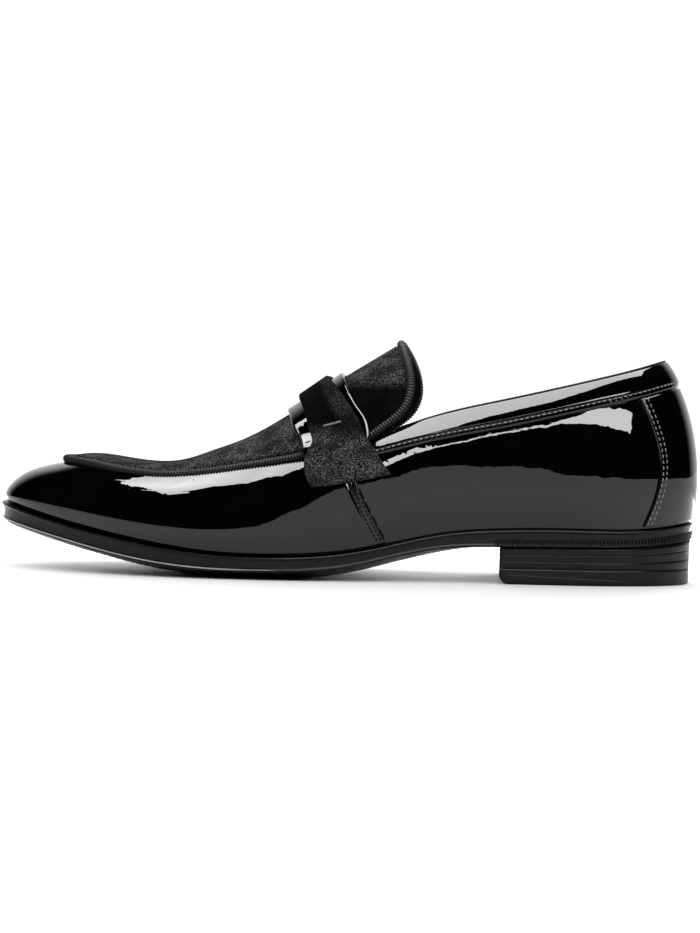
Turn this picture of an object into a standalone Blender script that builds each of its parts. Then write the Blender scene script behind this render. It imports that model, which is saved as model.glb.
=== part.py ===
"""Left moc toe loafer: patent upper, velvet plug and tongue, saddle band, strap, thin sole and stacked heel.

The shoe points along -X, its lateral side faces -Y and it stands on Z = 0.
Sizes are in millimetres until a mesh is made.
A station is a distance from the back of the upper towards the toe.
A turn is an angle round the shoe in plan: 0 at the back, pi at the toe, positive on the lateral side.
"""

import math

import bmesh
import bpy
import numpy as np

MM = 0.001

# Driving sizes of the shoe
LENGTH = 306.0
GAP = 0.3
UPPER_WALL = 1.8
PLUG_THICKNESS = 3.0
PIPING_RADIUS = 1.75
SADDLE_THICKNESS = 2.0
STRAP_THICKNESS = 2.3
COLLAR_HEIGHT = 12.4
OVERLAY_THICKNESS = 1.0
INSOLE_THICKNESS = 2.5
INSOLE_CLEARANCE = 0.8
HEEL_BREAST = 84.0
HEEL_LIFT_HEIGHT = 6.4
PIPING_DROP = 3.4
PIPING_EASE = 10.0

# The collar band's top edge drops at its front ends, where the piping passes over it
COLLAR_TOP, COLLAR_CORNER, COLLAR_CORNER_TURN = 0.2, 2.8, 0.12
COLLAR_FRONT = 135.0

# Number of steps in the meshes
SIDE_STEPS = 36
RIB_STEPS = 9
TREAD_COLUMNS = 13
SEAT_COLUMNS = 3
INSOLE_COLUMNS = 5
PLUG_STEPS = 26
PLUG_COLUMNS = 14
PIPING_STEPS = 32
TONGUE_RIM_STEPS = 14
COLLAR_STEPS = 60
COLLAR_ROWS = 4
COUNTER_STEPS = 16
COUNTER_ROWS = 9

# Colours and roughness of the materials
PATENT = ((0.010, 0.010, 0.012), 0.08)
VELVET = ((0.020, 0.020, 0.020), 0.90)
CORD = ((0.020, 0.020, 0.020), 0.70)
SOLE_RUBBER = ((0.030, 0.030, 0.030), 0.50)
LINING = ((0.020, 0.018, 0.017), 0.80)

# The sole: half widths in plan, heights of its edge and of its tread along the middle
SOLE_BACK, SOLE_TIP = 1.7, 306.0
SOLE_BACK_RADIUS, SOLE_TIP_RADIUS = 33.0, 27.0
TOE_SHIFT = 4.0
SOLE_COLUMNS = ("station", "lateral", "medial", "edge_bottom", "edge_top", "tread")
SOLE = (
    (SOLE_BACK, 0.0, 0.0, 19.3, 26.3, 19.3),
    (20.0, 27.0, 27.0, 16.9, 23.7, 16.9),
    (45.0, 35.0, 34.5, 16.0, 23.1, 16.0),
    (65.0, 36.8, 35.2, 15.8, 23.1, 15.8),
    (84.0, 37.8, 34.6, 15.5, 22.5, 15.5),
    (108.0, 40.2, 33.6, 14.3, 20.3, 12.4),
    (130.0, 43.6, 35.4, 9.8, 15.4, 7.0),
    (150.0, 47.6, 39.8, 5.3, 11.4, 2.0),
    (170.0, 51.0, 45.6, 3.5, 9.7, -0.4),
    (190.0, 52.5, 50.2, 3.1, 9.4, -0.6),
    (212.0, 51.6, 52.5, 3.7, 10.5, -0.4),
    (235.0, 47.6, 50.8, 6.1, 13.4, 2.6),
    (258.0, 40.2, 45.0, 10.3, 17.5, 7.4),
    (280.0, 30.0, 35.8, 15.1, 22.2, 12.6),
    (295.0, 19.2, 25.4, 18.4, 25.8, 16.6),
    (SOLE_TIP, 0.0, 0.0, 20.8, 28.4, 20.0),
)
TREAD_FLAT_SHARE = 0.45

# Side of the sole from the tread up: inset from the edge, share of the edge's height, and rise
SOLE_EDGE_COLUMNS = ("inset", "share", "rise")
SOLE_EDGE = (
    (1.5, 0.0, 0.0),
    (0.3, 0.0, 0.4),
    (0.0, 0.0, 1.1),
    (0.7, 0.0, 1.4),
    (0.6, 1.0, -1.0),
    (0.0, 1.0, -0.7),
    (0.3, 1.0, 0.0),
)

# The upper's wall: insets of its foot and of its fullest line from the sole's edge, and the rise between
WALL_COLUMNS = ("station", "feather_inset", "girth_lateral", "girth_medial", "girth_rise")
WALL = (
    (SOLE_BACK, 1.2, -0.4, -0.4, 18.0),
    (45.0, 1.6, -1.0, -1.2, 21.0),
    (84.0, 2.2, -0.6, -2.4, 23.5),
    (120.0, 2.8, 0.0, -4.0, 23.5),
    (145.0, 3.4, 0.8, -2.8, 21.0),
    (170.0, 3.7, 1.7, 0.5, 15.5),
    (200.0, 3.9, 2.0, 1.9, 10.0),
    (240.0, 4.0, 2.2, 2.2, 8.8),
    (280.0, 3.9, 2.6, 2.6, 6.6),
    (SOLE_TIP, 3.6, 2.2, 2.2, 2.4),
)

# The upper's top edge, round the plug in front and the foot opening behind.
# Lean is how far the wall has turned inwards there, in degrees from upright.
TOP_BACK, TOP_TIP = 15.8, 273.5
TOP_BACK_RADIUS, TOP_TIP_RADIUS = 17.0, 17.5
TOP_SHIFT = 2.5
TOP_COLUMNS = ("station", "lateral", "medial", "height", "lean")
TOP = (
    (TOP_BACK, 0.0, 0.0, 95.4, 34.0),
    (26.0, 18.0, 18.0, 92.0, 31.0),
    (42.0, 25.6, 25.6, 87.5, 27.0),
    (62.0, 29.4, 29.4, 82.4, 24.0),
    (86.0, 31.8, 31.4, 76.7, 22.0),
    (112.0, 33.6, 32.4, 70.0, 22.0),
    (138.0, 34.8, 33.0, 60.6, 26.0),
    (164.0, 34.0, 33.2, 52.9, 37.0),
    (188.0, 32.0, 32.6, 47.4, 49.0),
    (208.0, 30.2, 31.6, 43.4, 57.0),
    (226.0, 28.2, 30.2, 41.7, 62.0),
    (246.0, 24.2, 26.6, 43.6, 67.0),
    (260.0, 18.2, 20.8, 45.5, 70.0),
    (TOP_TIP, 0.0, 0.0, 46.4, 74.0),
)

# The plug: how far its crown stands ahead of and above its rims
RIM_STEP = 0.85
RIM_LIFT = 3.2
LEAST_ARC = 0.05
PLUG_THROAT = 141.0
CROWN_COLUMNS = ("station", "ahead", "height")
CROWN = (
    (PLUG_THROAT, 14.0, 23.2),
    (155.0, 12.5, 18.3),
    (170.0, 9.5, 14.0),
    (190.0, 6.0, 8.9),
    (210.0, 2.0, 6.6),
    (222.0, 0.6, 4.3),
    (236.0, 0.0, 2.4),
    (252.0, 0.0, 1.7),
    (265.0, 0.0, 1.4),
    (TOP_TIP, 0.0, 0.0),
)
TONGUE_LENGTH = 28.8
TONGUE_RISE_DEG = 32.0
TONGUE_CORNER_POWER = 4.0
TONGUE_STEPS = 5

# Layers over the instep: how high the undersides of the saddle band and the strap lie.
# Place 0 is the ridge of the instep and place 1 the strap's sewn end.
# On the wall, "at" is the drop below the top edge, and on the plug it is the place across it.
GIRTH_COLUMNS = ("place", "on", "at", "saddle_lift", "strap_lift")
GIRTH = (
    (1.00, "wall", 22.8, 0.3, 0.4),
    (0.92, "wall", 17.4, 0.3, 1.0),
    (0.84, "wall", 12.0, 0.9, 3.3),
    (0.76, "wall", 7.5, 2.8, 5.5),
    (0.69, "wall", PIPING_DROP, 4.3, 6.9),
    (0.62, "plug", 0.93, 0.6, 3.3),
    (0.50, "plug", 0.75, 0.3, 2.9),
    (0.33, "plug", 0.50, 0.3, 2.8),
    (0.17, "plug", 0.25, 0.3, 2.8),
    (0.00, "plug", 0.0, 0.3, 2.8),
)
GIRTH_FRONT, GIRTH_REAR, GIRTH_SECTIONS = 170.0, 122.0, 13
EDGE_COLUMNS = ("place", "front", "rear")

# The saddle band's front and rear edges, as stations of the rim that they cross, at places along the girth
SADDLE = (
    (0.00, 167.5, 140.8),
    (0.50, 167.5, 140.8),
    (0.62, 167.3, 140.3),
    (0.69, 165.0, 138.3),
    (0.82, 159.5, 136.5),
)
SADDLE_ROWS = 5

# The strap's edges in the same way
STRAP = (
    (0.00, 159.5, 144.5),
    (0.33, 159.3, 142.4),
    (0.50, 160.5, 141.3),
    (0.62, 162.0, 141.0),
    (0.69, 160.4, 138.9),
    (0.76, 160.8, 135.6),
    (0.84, 160.2, 131.9),
    (1.00, 153.6, 124.6),
)
STRAP_ROWS = 7
GIRTH_STEPS = 30

# The counter's front edges, as turns in degrees, at shares of its height from the sole up
COUNTER_COLUMNS = ("share", "turn")
COUNTER = ((0.0, 31.2), (0.25, 27.8), (0.5, 26.4), (0.75, 27.4), (1.0, 28.7))
COUNTER_FOOT = 1.5

# Heel: inset of its wall from the sole's edge, and the depth and places of its lift lines
HEEL_INSET_TOP, HEEL_INSET_BOTTOM = 0.7, 1.2
LIFT_LINE_DEPTH, LIFT_LINE_HALF_SHARE = 0.35, 0.03
LIFT_LINE_SHARES = (0.34, 0.67)
LIFT_BEVEL = 0.8
BREAST_ROUND = 4.3
HEEL_STEPS = 12
HEEL_CAP_COLUMNS = 6


def column(table, names, name):
    """One named column of a table."""
    return np.array([row[names.index(name)] for row in table])


def spline(knots, values):
    """The natural cubic through values at the knots, as a function."""
    t = np.asarray(knots, float)
    v = np.asarray(values, float)
    step = np.diff(t).reshape(-1, *[1] * (v.ndim - 1))
    slope = np.diff(v, axis=0) / step
    size = len(t)
    matrix = np.eye(size)
    right = np.zeros_like(v)
    for i in range(1, size - 1):
        before, after = t[i] - t[i - 1], t[i + 1] - t[i]
        matrix[i, i - 1 : i + 2] = before, 2 * (before + after), after
        right[i] = 6 * (slope[i] - slope[i - 1])
    bend = np.linalg.solve(matrix, right.reshape(size, -1)).reshape(v.shape)

    def at(places):
        places = np.asarray(places, float)
        i = np.clip(np.searchsorted(t, places) - 1, 0, size - 2)
        shape = (*places.shape, *[1] * (v.ndim - 1))
        width = (t[i + 1] - t[i]).reshape(shape)
        b = ((places - t[i]).reshape(shape)) / width
        a = 1 - b
        curve = (a**3 - a) * bend[i] + (b**3 - b) * bend[i + 1]
        return a * v[i] + b * v[i + 1] + curve * width**2 / 6

    return at


def table_spline(table, names, name, key="station"):
    """A named column of a table as a smooth function of another column."""
    keys = column(table, names, key)
    order = np.argsort(keys)
    return spline(keys[order], column(table, names, name)[order])


class PlanLine:
    """A closed outline in plan, round at its back and at its tip."""

    def __init__(self, table, names, radii, tip_shift):
        stations = column(table, names, "station")
        self.back = stations[0]
        self.half = (stations[-1] - stations[0]) / 2
        self.tip_shift = tip_shift
        turns = self.turn_at(stations)
        ends = [math.sqrt(radius * self.half) for radius in radii]
        middle = turns[1:-1]
        self.fullness = {}
        for side, name in ((1, "lateral"), (-1, "medial")):
            widths = column(table, names, name)[1:-1] + side * self.centre(middle)
            self.fullness[side] = spline(turns, [ends[0], *(widths / np.sin(middle)), ends[1]])

    def turn_at(self, station):
        """The turn, 0 to pi, at a station."""
        return np.arccos(np.clip(1 - (np.asarray(station) - self.back) / self.half, -1, 1))

    def station(self, turn):
        return self.back + self.half * (1 - np.cos(turn))

    def centre(self, turn):
        return self.tip_shift * ((1 - np.cos(turn)) / 2) ** 4

    def at(self, turn):
        """X and Y at a turn."""
        angle = np.abs(turn)
        lateral = self.centre(angle) - np.sin(angle) * self.fullness[1](angle)
        medial = self.centre(angle) + np.sin(angle) * self.fullness[-1](angle)
        across = np.where(np.asarray(turn) >= 0, lateral, medial)
        return np.stack([LENGTH / 2 - self.station(turn), across], axis=-1)

    def inset(self, turn, distance):
        """X and Y at a turn, moved inwards from the line."""
        small = 1e-3
        along = self.at(turn + small) - self.at(turn - small)
        along /= np.linalg.norm(along, axis=-1, keepdims=True)
        inwards = np.stack([along[..., 1], -along[..., 0]], axis=-1)
        return self.at(turn) + inwards * np.asarray(distance)[..., None]


SOLE_LINE = PlanLine(SOLE, SOLE_COLUMNS, (SOLE_BACK_RADIUS, SOLE_TIP_RADIUS), TOE_SHIFT)
TOP_LINE = PlanLine(TOP, TOP_COLUMNS, (TOP_BACK_RADIUS, TOP_TIP_RADIUS), TOP_SHIFT)
EDGE_BOTTOM = table_spline(SOLE, SOLE_COLUMNS, "edge_bottom")
EDGE_TOP = table_spline(SOLE, SOLE_COLUMNS, "edge_top")
TREAD = table_spline(SOLE, SOLE_COLUMNS, "tread")
FEATHER_INSET = table_spline(WALL, WALL_COLUMNS, "feather_inset")
GIRTH_INSETS = {side: table_spline(WALL, WALL_COLUMNS, "girth_" + side) for side in ("lateral", "medial")}
GIRTH_RISE = table_spline(WALL, WALL_COLUMNS, "girth_rise")
TOP_HEIGHT = table_spline(TOP, TOP_COLUMNS, "height")
TOP_LEAN = table_spline(TOP, TOP_COLUMNS, "lean")
CROWN_AHEAD = table_spline(CROWN, CROWN_COLUMNS, "ahead")
CROWN_HEIGHT = table_spline(CROWN, CROWN_COLUMNS, "height")


def station_of(points):
    return LENGTH / 2 - points[..., 0]


def unit(vector):
    return vector / np.linalg.norm(vector, axis=-1, keepdims=True)


def with_height(plan, height):
    return np.concatenate([plan, np.asarray(height)[..., None]], axis=-1)


def rib(turn):
    """The upper's outer wall at one turn: a smooth curve from sole to top edge, and its length."""
    turn = np.asarray(turn, float)
    station = SOLE_LINE.station(turn)
    foot = SOLE_LINE.inset(turn, FEATHER_INSET(station))
    foot_height = EDGE_TOP(station_of(foot)) + GAP
    side = "lateral" if turn >= 0 else "medial"
    girth = SOLE_LINE.inset(turn, GIRTH_INSETS[side](station))
    girth_height = foot_height + GIRTH_RISE(station)
    top = TOP_LINE.at(turn)
    top_station = TOP_LINE.station(turn)
    lean = math.radians(float(TOP_LEAN(top_station)))
    guides = [with_height(foot, foot_height)]
    for share in (0.0, 1 / 3, 2 / 3, 1.0):
        inwards = (1 - math.cos(share * lean)) / (1 - math.cos(lean))
        upwards = math.sin(share * lean) / math.sin(lean)
        plan = girth + (top - girth) * inwards
        guides.append(with_height(plan, girth_height + (TOP_HEIGHT(top_station) - girth_height) * upwards))
    guides = np.array(guides)
    lengths = np.concatenate([[0], np.cumsum(np.linalg.norm(np.diff(guides, axis=0), axis=1))])
    return spline(lengths, guides), lengths[-1]


def upper_points(turn, drops, lift=0.0):
    """Points of the upper's outer wall, at drops below its top edge along the wall and lifted off it."""
    drops = np.asarray(drops, float)
    small_turn, small_drop = 2e-3, 0.1
    curve, length = rib(turn)
    before, before_length = rib(turn - small_turn)
    after, after_length = rib(turn + small_turn)
    share = (length - drops) / length
    points = curve(length - drops)
    up = curve(length - drops + small_drop) - curve(length - drops - small_drop)
    along = after(share * after_length) - before(share * before_length)
    return points + unit(np.cross(up, along)) * np.asarray(lift)[..., None]


def rib_length(turn):
    return rib(turn)[1]


def plug_row(turn, places):
    """The plug's outer face between its rims at a turn, at places from -1, lateral, to 1, medial."""
    lateral = upper_points(turn, [-RIM_STEP], RIM_LIFT)[0]
    medial = upper_points(-turn, [-RIM_STEP], RIM_LIFT)[0]
    station = TOP_LINE.station(turn)
    crown = np.array([-float(CROWN_AHEAD(station)), 0.0, float(CROWN_HEIGHT(station))])
    half_width = np.linalg.norm(medial - lateral) / 2
    arc = max(LEAST_ARC, 2 * math.atan2(crown[2], max(half_width, 1.0)))
    places = np.asarray(places, float)[:, None]
    across = np.sin(places * arc) / math.sin(arc)
    rise = (np.cos(places * arc) - math.cos(arc)) / (1 - math.cos(arc))
    return (lateral + medial) / 2 + (medial - lateral) / 2 * across + crown * rise


def plug_places(count):
    """Places across the plug, closer together towards its rims."""
    return np.sin(np.linspace(-math.pi / 2, math.pi / 2, count + 1))


def tongue_back():
    """The way the tongue runs, back and up from the throat."""
    rise = math.radians(TONGUE_RISE_DEG)
    return np.array([math.cos(rise), 0.0, math.sin(rise)])


def tongue_row(share, places):
    """The tongue's outer face at a share of its length behind the throat."""
    corner = np.clip(1 - np.abs(places) ** TONGUE_CORNER_POWER, 0, 1) ** (1 / TONGUE_CORNER_POWER)
    reach = TONGUE_LENGTH * share * corner
    return plug_row(float(TOP_LINE.turn_at(PLUG_THROAT)), places) + reach[:, None] * tongue_back()


def plug_rows():
    """Rows of the plug's outer face, from the front of the apron to the end of the tongue."""
    places = plug_places(PLUG_COLUMNS)
    turns = np.linspace(math.pi, float(TOP_LINE.turn_at(PLUG_THROAT)), PLUG_STEPS)
    rows = [plug_row(turn, places) for turn in turns]
    shares = np.sin(np.linspace(0, math.pi / 2, TONGUE_STEPS + 1))[1:]
    rows += [tongue_row(share, places) for share in shares]
    return np.array(rows)


def tongue_rim_places(steps):
    """Places round the tongue's end, spread evenly along its edge."""
    share = np.linspace(0, 1, steps + 1)
    turn = math.pi / 2 * share**2 * (3 - 2 * share)
    half = np.cos(turn) ** (2 / TONGUE_CORNER_POWER)
    half[-1] = 0.0
    return np.concatenate([-half, half[-2::-1]])


def piping_route():
    """Centre of the piping: on the wall beside the apron's rims, and round the tongue's edge."""
    lift = PIPING_RADIUS + GAP
    throat = float(TOP_LINE.turn_at(PLUG_THROAT))
    turns = np.linspace(math.pi, throat, PIPING_STEPS)
    lateral = np.array([upper_points(turn, [PIPING_DROP], lift)[0] for turn in turns])
    medial = np.array([upper_points(-turn, [PIPING_DROP], lift)[0] for turn in turns])
    places = tongue_rim_places(TONGUE_RIM_STEPS)
    end = tongue_row(1.0, places)
    reach = np.linalg.norm(end - tongue_row(0.0, places), axis=1)
    face = unit(np.cross(tongue_back(), np.gradient(tongue_row(0.0, places), axis=0)))
    outwards = unit(np.cross(np.gradient(end, axis=0), face))
    beside = outwards * lift - face * PLUG_THICKNESS / 2
    at_throat = np.where(places[:, None] < 0, lateral[-1] - end[0], medial[-1] - end[-1])
    share = np.clip(reach / PIPING_EASE, 0, 1)[:, None]
    share = share**2 * (3 - 2 * share)
    rim = end + at_throat * (1 - share) + beside * share
    return np.concatenate([lateral[:-1], rim, medial[-2:0:-1]])


def girth_points(turn, layer):
    """Guide points of a layer's underside over the instep at a turn, from lateral to medial."""
    points = []
    for place, on, at, lift in girth_guides(layer):
        side = 1 if place <= 0 else -1
        if on == "wall":
            points.append(upper_points(side * turn, [at], lift)[0])
        else:
            near = plug_row(turn, np.array([-0.02, 0.0, 0.02]) - side * at)
            ahead = plug_row(turn + 0.01, [-side * at])[0]
            points.append(near[1] + lift * unit(np.cross(near[2] - near[0], ahead - near[1])))
    return points


def girth_guides(layer):
    """The guides of a layer in order along the girth, with places from -1, lateral, to 1, medial."""
    lift = GIRTH_COLUMNS.index(layer)
    medial = [(row[0], row[1], row[2], row[lift]) for row in GIRTH]
    lateral = [(-row[0], *row[1:]) for row in medial]
    return lateral + medial[-2::-1]


def layer_surface(layer):
    """The underside of a layer over the instep, as a function of rim station and place."""
    stations = np.linspace(GIRTH_REAR, GIRTH_FRONT, GIRTH_SECTIONS)
    places = [guide[0] for guide in girth_guides(layer)]
    along = spline(stations, [girth_points(float(TOP_LINE.turn_at(s)), layer) for s in stations])
    return lambda station, place: spline(places, along(station))(place)


def layer_sheet(layer, places, front, rear, rows):
    """A sheet of points on the underside of a layer, between its front and rear edges at each place."""
    surface = layer_surface(layer)
    sheet = []
    for share in np.linspace(0, 1, rows):
        edges = [front(abs(place)) * (1 - share) + rear(abs(place)) * share for place in places]
        sheet.append([surface(station, place) for station, place in zip(edges, places)])
    return np.array(sheet)


def across_rows(left, right, count):
    """Rows of points from one line of points to another."""
    shares = np.linspace(0, 1, count)[None, :, None]
    return left[:, None, :] * (1 - shares) + right[:, None, :] * shares


def clear_scene():
    for item in list(bpy.data.objects):
        bpy.data.objects.remove(item, do_unlink=True)


def make_material(name, colour, roughness):
    material = bpy.data.materials.new(name)
    material.use_nodes = True
    shader = material.node_tree.nodes["Principled BSDF"]
    shader.inputs["Base Color"].default_value = (*colour, 1.0)
    shader.inputs["Roughness"].default_value = roughness
    return material


def add_part(name, data, finish):
    """Place a mesh or curve in the shoe's collection, with its own material."""
    data.materials.append(make_material(name, *finish))
    item = bpy.data.objects.new(name, data)
    item.parent = FRAME
    SHOE.objects.link(item)
    return item


def sheet_part(name, sheets, finish, wall=None, offset=-1.0):
    """A part from sheets of points, welded where they meet, as a closed body or as a sheet given a wall."""
    mesh = bpy.data.meshes.new(name)
    shape = bmesh.new()
    for points, wraps in sheets:
        rows, columns = points.shape[:2]
        grid = [[shape.verts.new(point * MM) for point in row] for row in points]
        for i in range(rows - 1):
            for j in range(columns if wraps else columns - 1):
                after = (j + 1) % columns
                shape.faces.new((grid[i][j], grid[i + 1][j], grid[i + 1][after], grid[i][after]))
    bmesh.ops.remove_doubles(shape, verts=shape.verts, dist=1e-6)
    if wall is None:
        bmesh.ops.recalc_face_normals(shape, faces=shape.faces)
    shape.to_mesh(mesh)
    shape.free()
    item = add_part(name, mesh, finish)
    if wall is not None:
        modifier = item.modifiers.new("wall", "SOLIDIFY")
        modifier.thickness = wall * MM
        modifier.offset = offset
        modifier.use_even_offset = True
    return item


def outline_turns(steps=SIDE_STEPS):
    """Turns all the way round, from toe to toe by the medial side and the back."""
    return np.linspace(-math.pi, math.pi, 2 * steps + 1)[:-1]


def sole_ring(turns, inset, share, rise):
    """One line round the sole's side, from a row of its edge table."""
    plan = SOLE_LINE.inset(turns, np.full(len(turns), inset))
    station = station_of(plan)
    height = EDGE_BOTTOM(station) * (1 - share) + EDGE_TOP(station) * share + rise
    return with_height(plan, height)


def facing_lines(ring):
    """The medial and lateral halves of a ring as two lines from toe to back."""
    steps = len(ring) // 2
    medial = ring[: steps + 1]
    lateral = np.concatenate([ring[:1], ring[:steps - 1:-1]])
    return lateral, medial


def make_outsole():
    turns = outline_turns()
    rings = np.array([sole_ring(turns, **dict(zip(SOLE_EDGE_COLUMNS, row))) for row in SOLE_EDGE])
    lateral, medial = facing_lines(rings[0])
    tread = across_rows(lateral, medial, TREAD_COLUMNS)
    places = np.abs(np.linspace(-1, 1, TREAD_COLUMNS))
    bend = np.clip((places - TREAD_FLAT_SHARE) / (1 - TREAD_FLAT_SHARE), 0, None) ** 2
    middle = np.maximum(TREAD(station_of(tread)), 0.0)
    tread[..., 2] = middle + (tread[..., 2] - middle) * bend
    seat = across_rows(*facing_lines(rings[-1]), SEAT_COLUMNS)
    return sheet_part("outsole", [(rings, True), (tread, False), (seat, False)], SOLE_RUBBER)


def make_insole():
    turns = outline_turns()
    inset = FEATHER_INSET(SOLE_LINE.station(turns)) + UPPER_WALL + INSOLE_CLEARANCE
    plan = SOLE_LINE.inset(turns, inset)
    ring = with_height(plan, EDGE_TOP(station_of(plan)) + GAP)
    board = across_rows(*facing_lines(ring), INSOLE_COLUMNS)
    return sheet_part("insole", [(board, False)], LINING, wall=INSOLE_THICKNESS, offset=1.0)


def heel_level(inset, breast, height):
    """One line round the heel from breast to breast, at a height that may follow the station."""
    turn = float(SOLE_LINE.turn_at(breast))
    turns = np.linspace(-turn, turn, 2 * HEEL_STEPS + 1)
    plan = SOLE_LINE.inset(turns, np.full(len(turns), inset))
    plan[[0, -1], 0] = LENGTH / 2 - breast
    return with_height(plan, height(station_of(plan)))


def heel_part(name, levels, finish):
    """A heel piece from its levels, closed across the breast, on top and underneath."""
    levels = np.array(levels)
    breast = across_rows(levels[:, 0], levels[:, -1], HEEL_CAP_COLUMNS)
    sheets = [(levels, False), (breast, False)]
    for level in (levels[0], levels[-1]):
        medial = level[HEEL_STEPS::-1]
        lateral = level[HEEL_STEPS:]
        sheets.append((across_rows(medial, lateral, HEEL_CAP_COLUMNS), False))
    return sheet_part(name, sheets, finish)


def seat_height(station):
    """Top of the heel block, just under the sole."""
    return np.minimum(EDGE_BOTTOM(station), TREAD(station)) - GAP


def make_heel_block():
    floor = HEEL_LIFT_HEIGHT + GAP
    steps = {0.0: 0.0, 1.0: 0.0}
    for line in LIFT_LINE_SHARES:
        for move, depth in ((-1.0, 0.0), (0.0, LIFT_LINE_DEPTH), (1.0, 0.0)):
            steps[line + move * LIFT_LINE_HALF_SHARE] = depth
    levels = []
    for share, depth in sorted(steps.items()):
        inset = HEEL_INSET_BOTTOM + (HEEL_INSET_TOP - HEEL_INSET_BOTTOM) * share + depth

        def height(station, share=share):
            return floor + (seat_height(station) - floor) * share

        levels.append(heel_level(inset, HEEL_BREAST, height))
    return heel_part("heel_block", levels, SOLE_RUBBER)


def make_heel_top_lift():
    levels = []
    shape = ((0.0, LIFT_BEVEL), (LIFT_BEVEL, 0.0), (BREAST_ROUND, 0.0), (HEEL_LIFT_HEIGHT, 0.0))
    for height, bevel in shape:
        rise = max(0.0, 1 - height / BREAST_ROUND)
        breast = HEEL_BREAST - BREAST_ROUND * (1 - math.sqrt(1 - rise**2))

        def level_height(station, height=height):
            return np.full(len(station), height)

        levels.append(heel_level(HEEL_INSET_BOTTOM + bevel, breast, level_height))
    return heel_part("heel_top_lift", levels, SOLE_RUBBER)


def make_upper():
    ribs = [upper_points(turn, np.linspace(rib_length(turn), 0, RIB_STEPS + 1)) for turn in outline_turns()]
    wall = np.array(ribs).transpose(1, 0, 2)
    return sheet_part("upper", [(wall, True)], PATENT, wall=UPPER_WALL)


def make_vamp_plug():
    return sheet_part("vamp_plug", [(plug_rows(), False)], VELVET, wall=PLUG_THICKNESS)


def make_plug_piping():
    data = bpy.data.curves.new("plug_piping", "CURVE")
    data.dimensions = "3D"
    data.bevel_depth = PIPING_RADIUS * MM
    data.bevel_resolution = 2
    route = piping_route() * MM
    cord = data.splines.new("POLY")
    cord.points.add(len(route) - 1)
    cord.points.foreach_set("co", np.c_[route, np.ones(len(route))].ravel())
    cord.use_cyclic_u = True
    return add_part("plug_piping", data, CORD)


def girth_band(name, layer, edges, finish, thickness, rows):
    """A band over the instep between the edges of its table."""
    front = table_spline(edges, EDGE_COLUMNS, "front", key="place")
    rear = table_spline(edges, EDGE_COLUMNS, "rear", key="place")
    end = edges[-1][EDGE_COLUMNS.index("place")]
    places = np.linspace(-end, end, GIRTH_STEPS + 1)
    sheet = layer_sheet(layer, places, front, rear, rows)
    return sheet_part(name, [(sheet, False)], finish, wall=thickness, offset=1.0)


def make_saddle_band():
    return girth_band("saddle_band", "saddle_lift", SADDLE, PATENT, SADDLE_THICKNESS, SADDLE_ROWS)


def make_strap():
    return girth_band("strap", "strap_lift", STRAP, VELVET, STRAP_THICKNESS, STRAP_ROWS)


def make_collar_band():
    end = float(TOP_LINE.turn_at(COLLAR_FRONT))
    rows = []
    for turn in np.linspace(-end, end, COLLAR_STEPS + 1):
        near_end = max(0.0, 1 - (end - abs(turn)) / COLLAR_CORNER_TURN)
        top = COLLAR_TOP + COLLAR_CORNER * near_end**2
        rows.append(upper_points(turn, np.linspace(COLLAR_HEIGHT, top, COLLAR_ROWS), GAP))
    band = np.array(rows).transpose(1, 0, 2)
    return sheet_part("collar_band", [(band, False)], PATENT, wall=OVERLAY_THICKNESS, offset=1.0)


def make_heel_counter():
    edge = table_spline(COUNTER, COUNTER_COLUMNS, "turn", key="share")
    rows = []
    for share in np.linspace(0, 1, COUNTER_ROWS):
        row = []
        for turn in np.linspace(-1, 1, COUNTER_STEPS + 1) * math.radians(float(edge(share))):
            length = rib_length(turn)
            drop = (length - COUNTER_FOOT) * (1 - share) + (COLLAR_HEIGHT + GAP) * share
            row.append(upper_points(turn, [drop], GAP)[0])
        rows.append(row)
    return sheet_part("heel_counter", [(np.array(rows), False)], PATENT, wall=OVERLAY_THICKNESS, offset=1.0)


clear_scene()
SHOE = bpy.data.collections.new("moc_toe_loafer")
bpy.context.scene.collection.children.link(SHOE)
FRAME = bpy.data.objects.new("shoe_frame", None)
SHOE.objects.link(FRAME)

make_outsole()
make_heel_block()
make_heel_top_lift()
make_insole()
make_upper()
make_vamp_plug()
make_plug_piping()
make_saddle_band()
make_strap()
make_collar_band()
make_heel_counter()
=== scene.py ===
"""Looks of a left moc toe loafer in black patent leather and velvet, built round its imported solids.

The shoe points along -X, its lateral side faces -Y and it stands on Z = 0.
Sizes are in millimetres until a mesh is made.
A station is a distance from the back of the upper towards the toe.
A turn is an angle round the shoe in plan: 0 at the back, pi at the toe, positive on the lateral side.
A drop is a distance down the upper's wall from its top edge, and a lift a distance off that wall.
"""

import math

import bmesh
import bpy
import numpy as np
from mathutils import Matrix, Vector


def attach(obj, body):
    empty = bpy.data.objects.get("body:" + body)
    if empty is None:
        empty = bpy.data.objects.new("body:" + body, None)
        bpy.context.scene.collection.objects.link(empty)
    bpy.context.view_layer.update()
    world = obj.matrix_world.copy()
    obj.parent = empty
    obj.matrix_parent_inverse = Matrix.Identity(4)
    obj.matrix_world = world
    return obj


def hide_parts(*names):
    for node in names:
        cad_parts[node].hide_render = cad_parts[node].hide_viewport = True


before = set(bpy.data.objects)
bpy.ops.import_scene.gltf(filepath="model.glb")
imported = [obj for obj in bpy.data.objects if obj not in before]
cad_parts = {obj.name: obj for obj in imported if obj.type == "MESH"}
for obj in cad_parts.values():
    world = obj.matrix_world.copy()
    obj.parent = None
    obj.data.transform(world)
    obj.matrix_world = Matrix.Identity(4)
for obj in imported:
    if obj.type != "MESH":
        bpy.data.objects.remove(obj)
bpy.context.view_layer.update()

MM = 0.001

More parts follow.
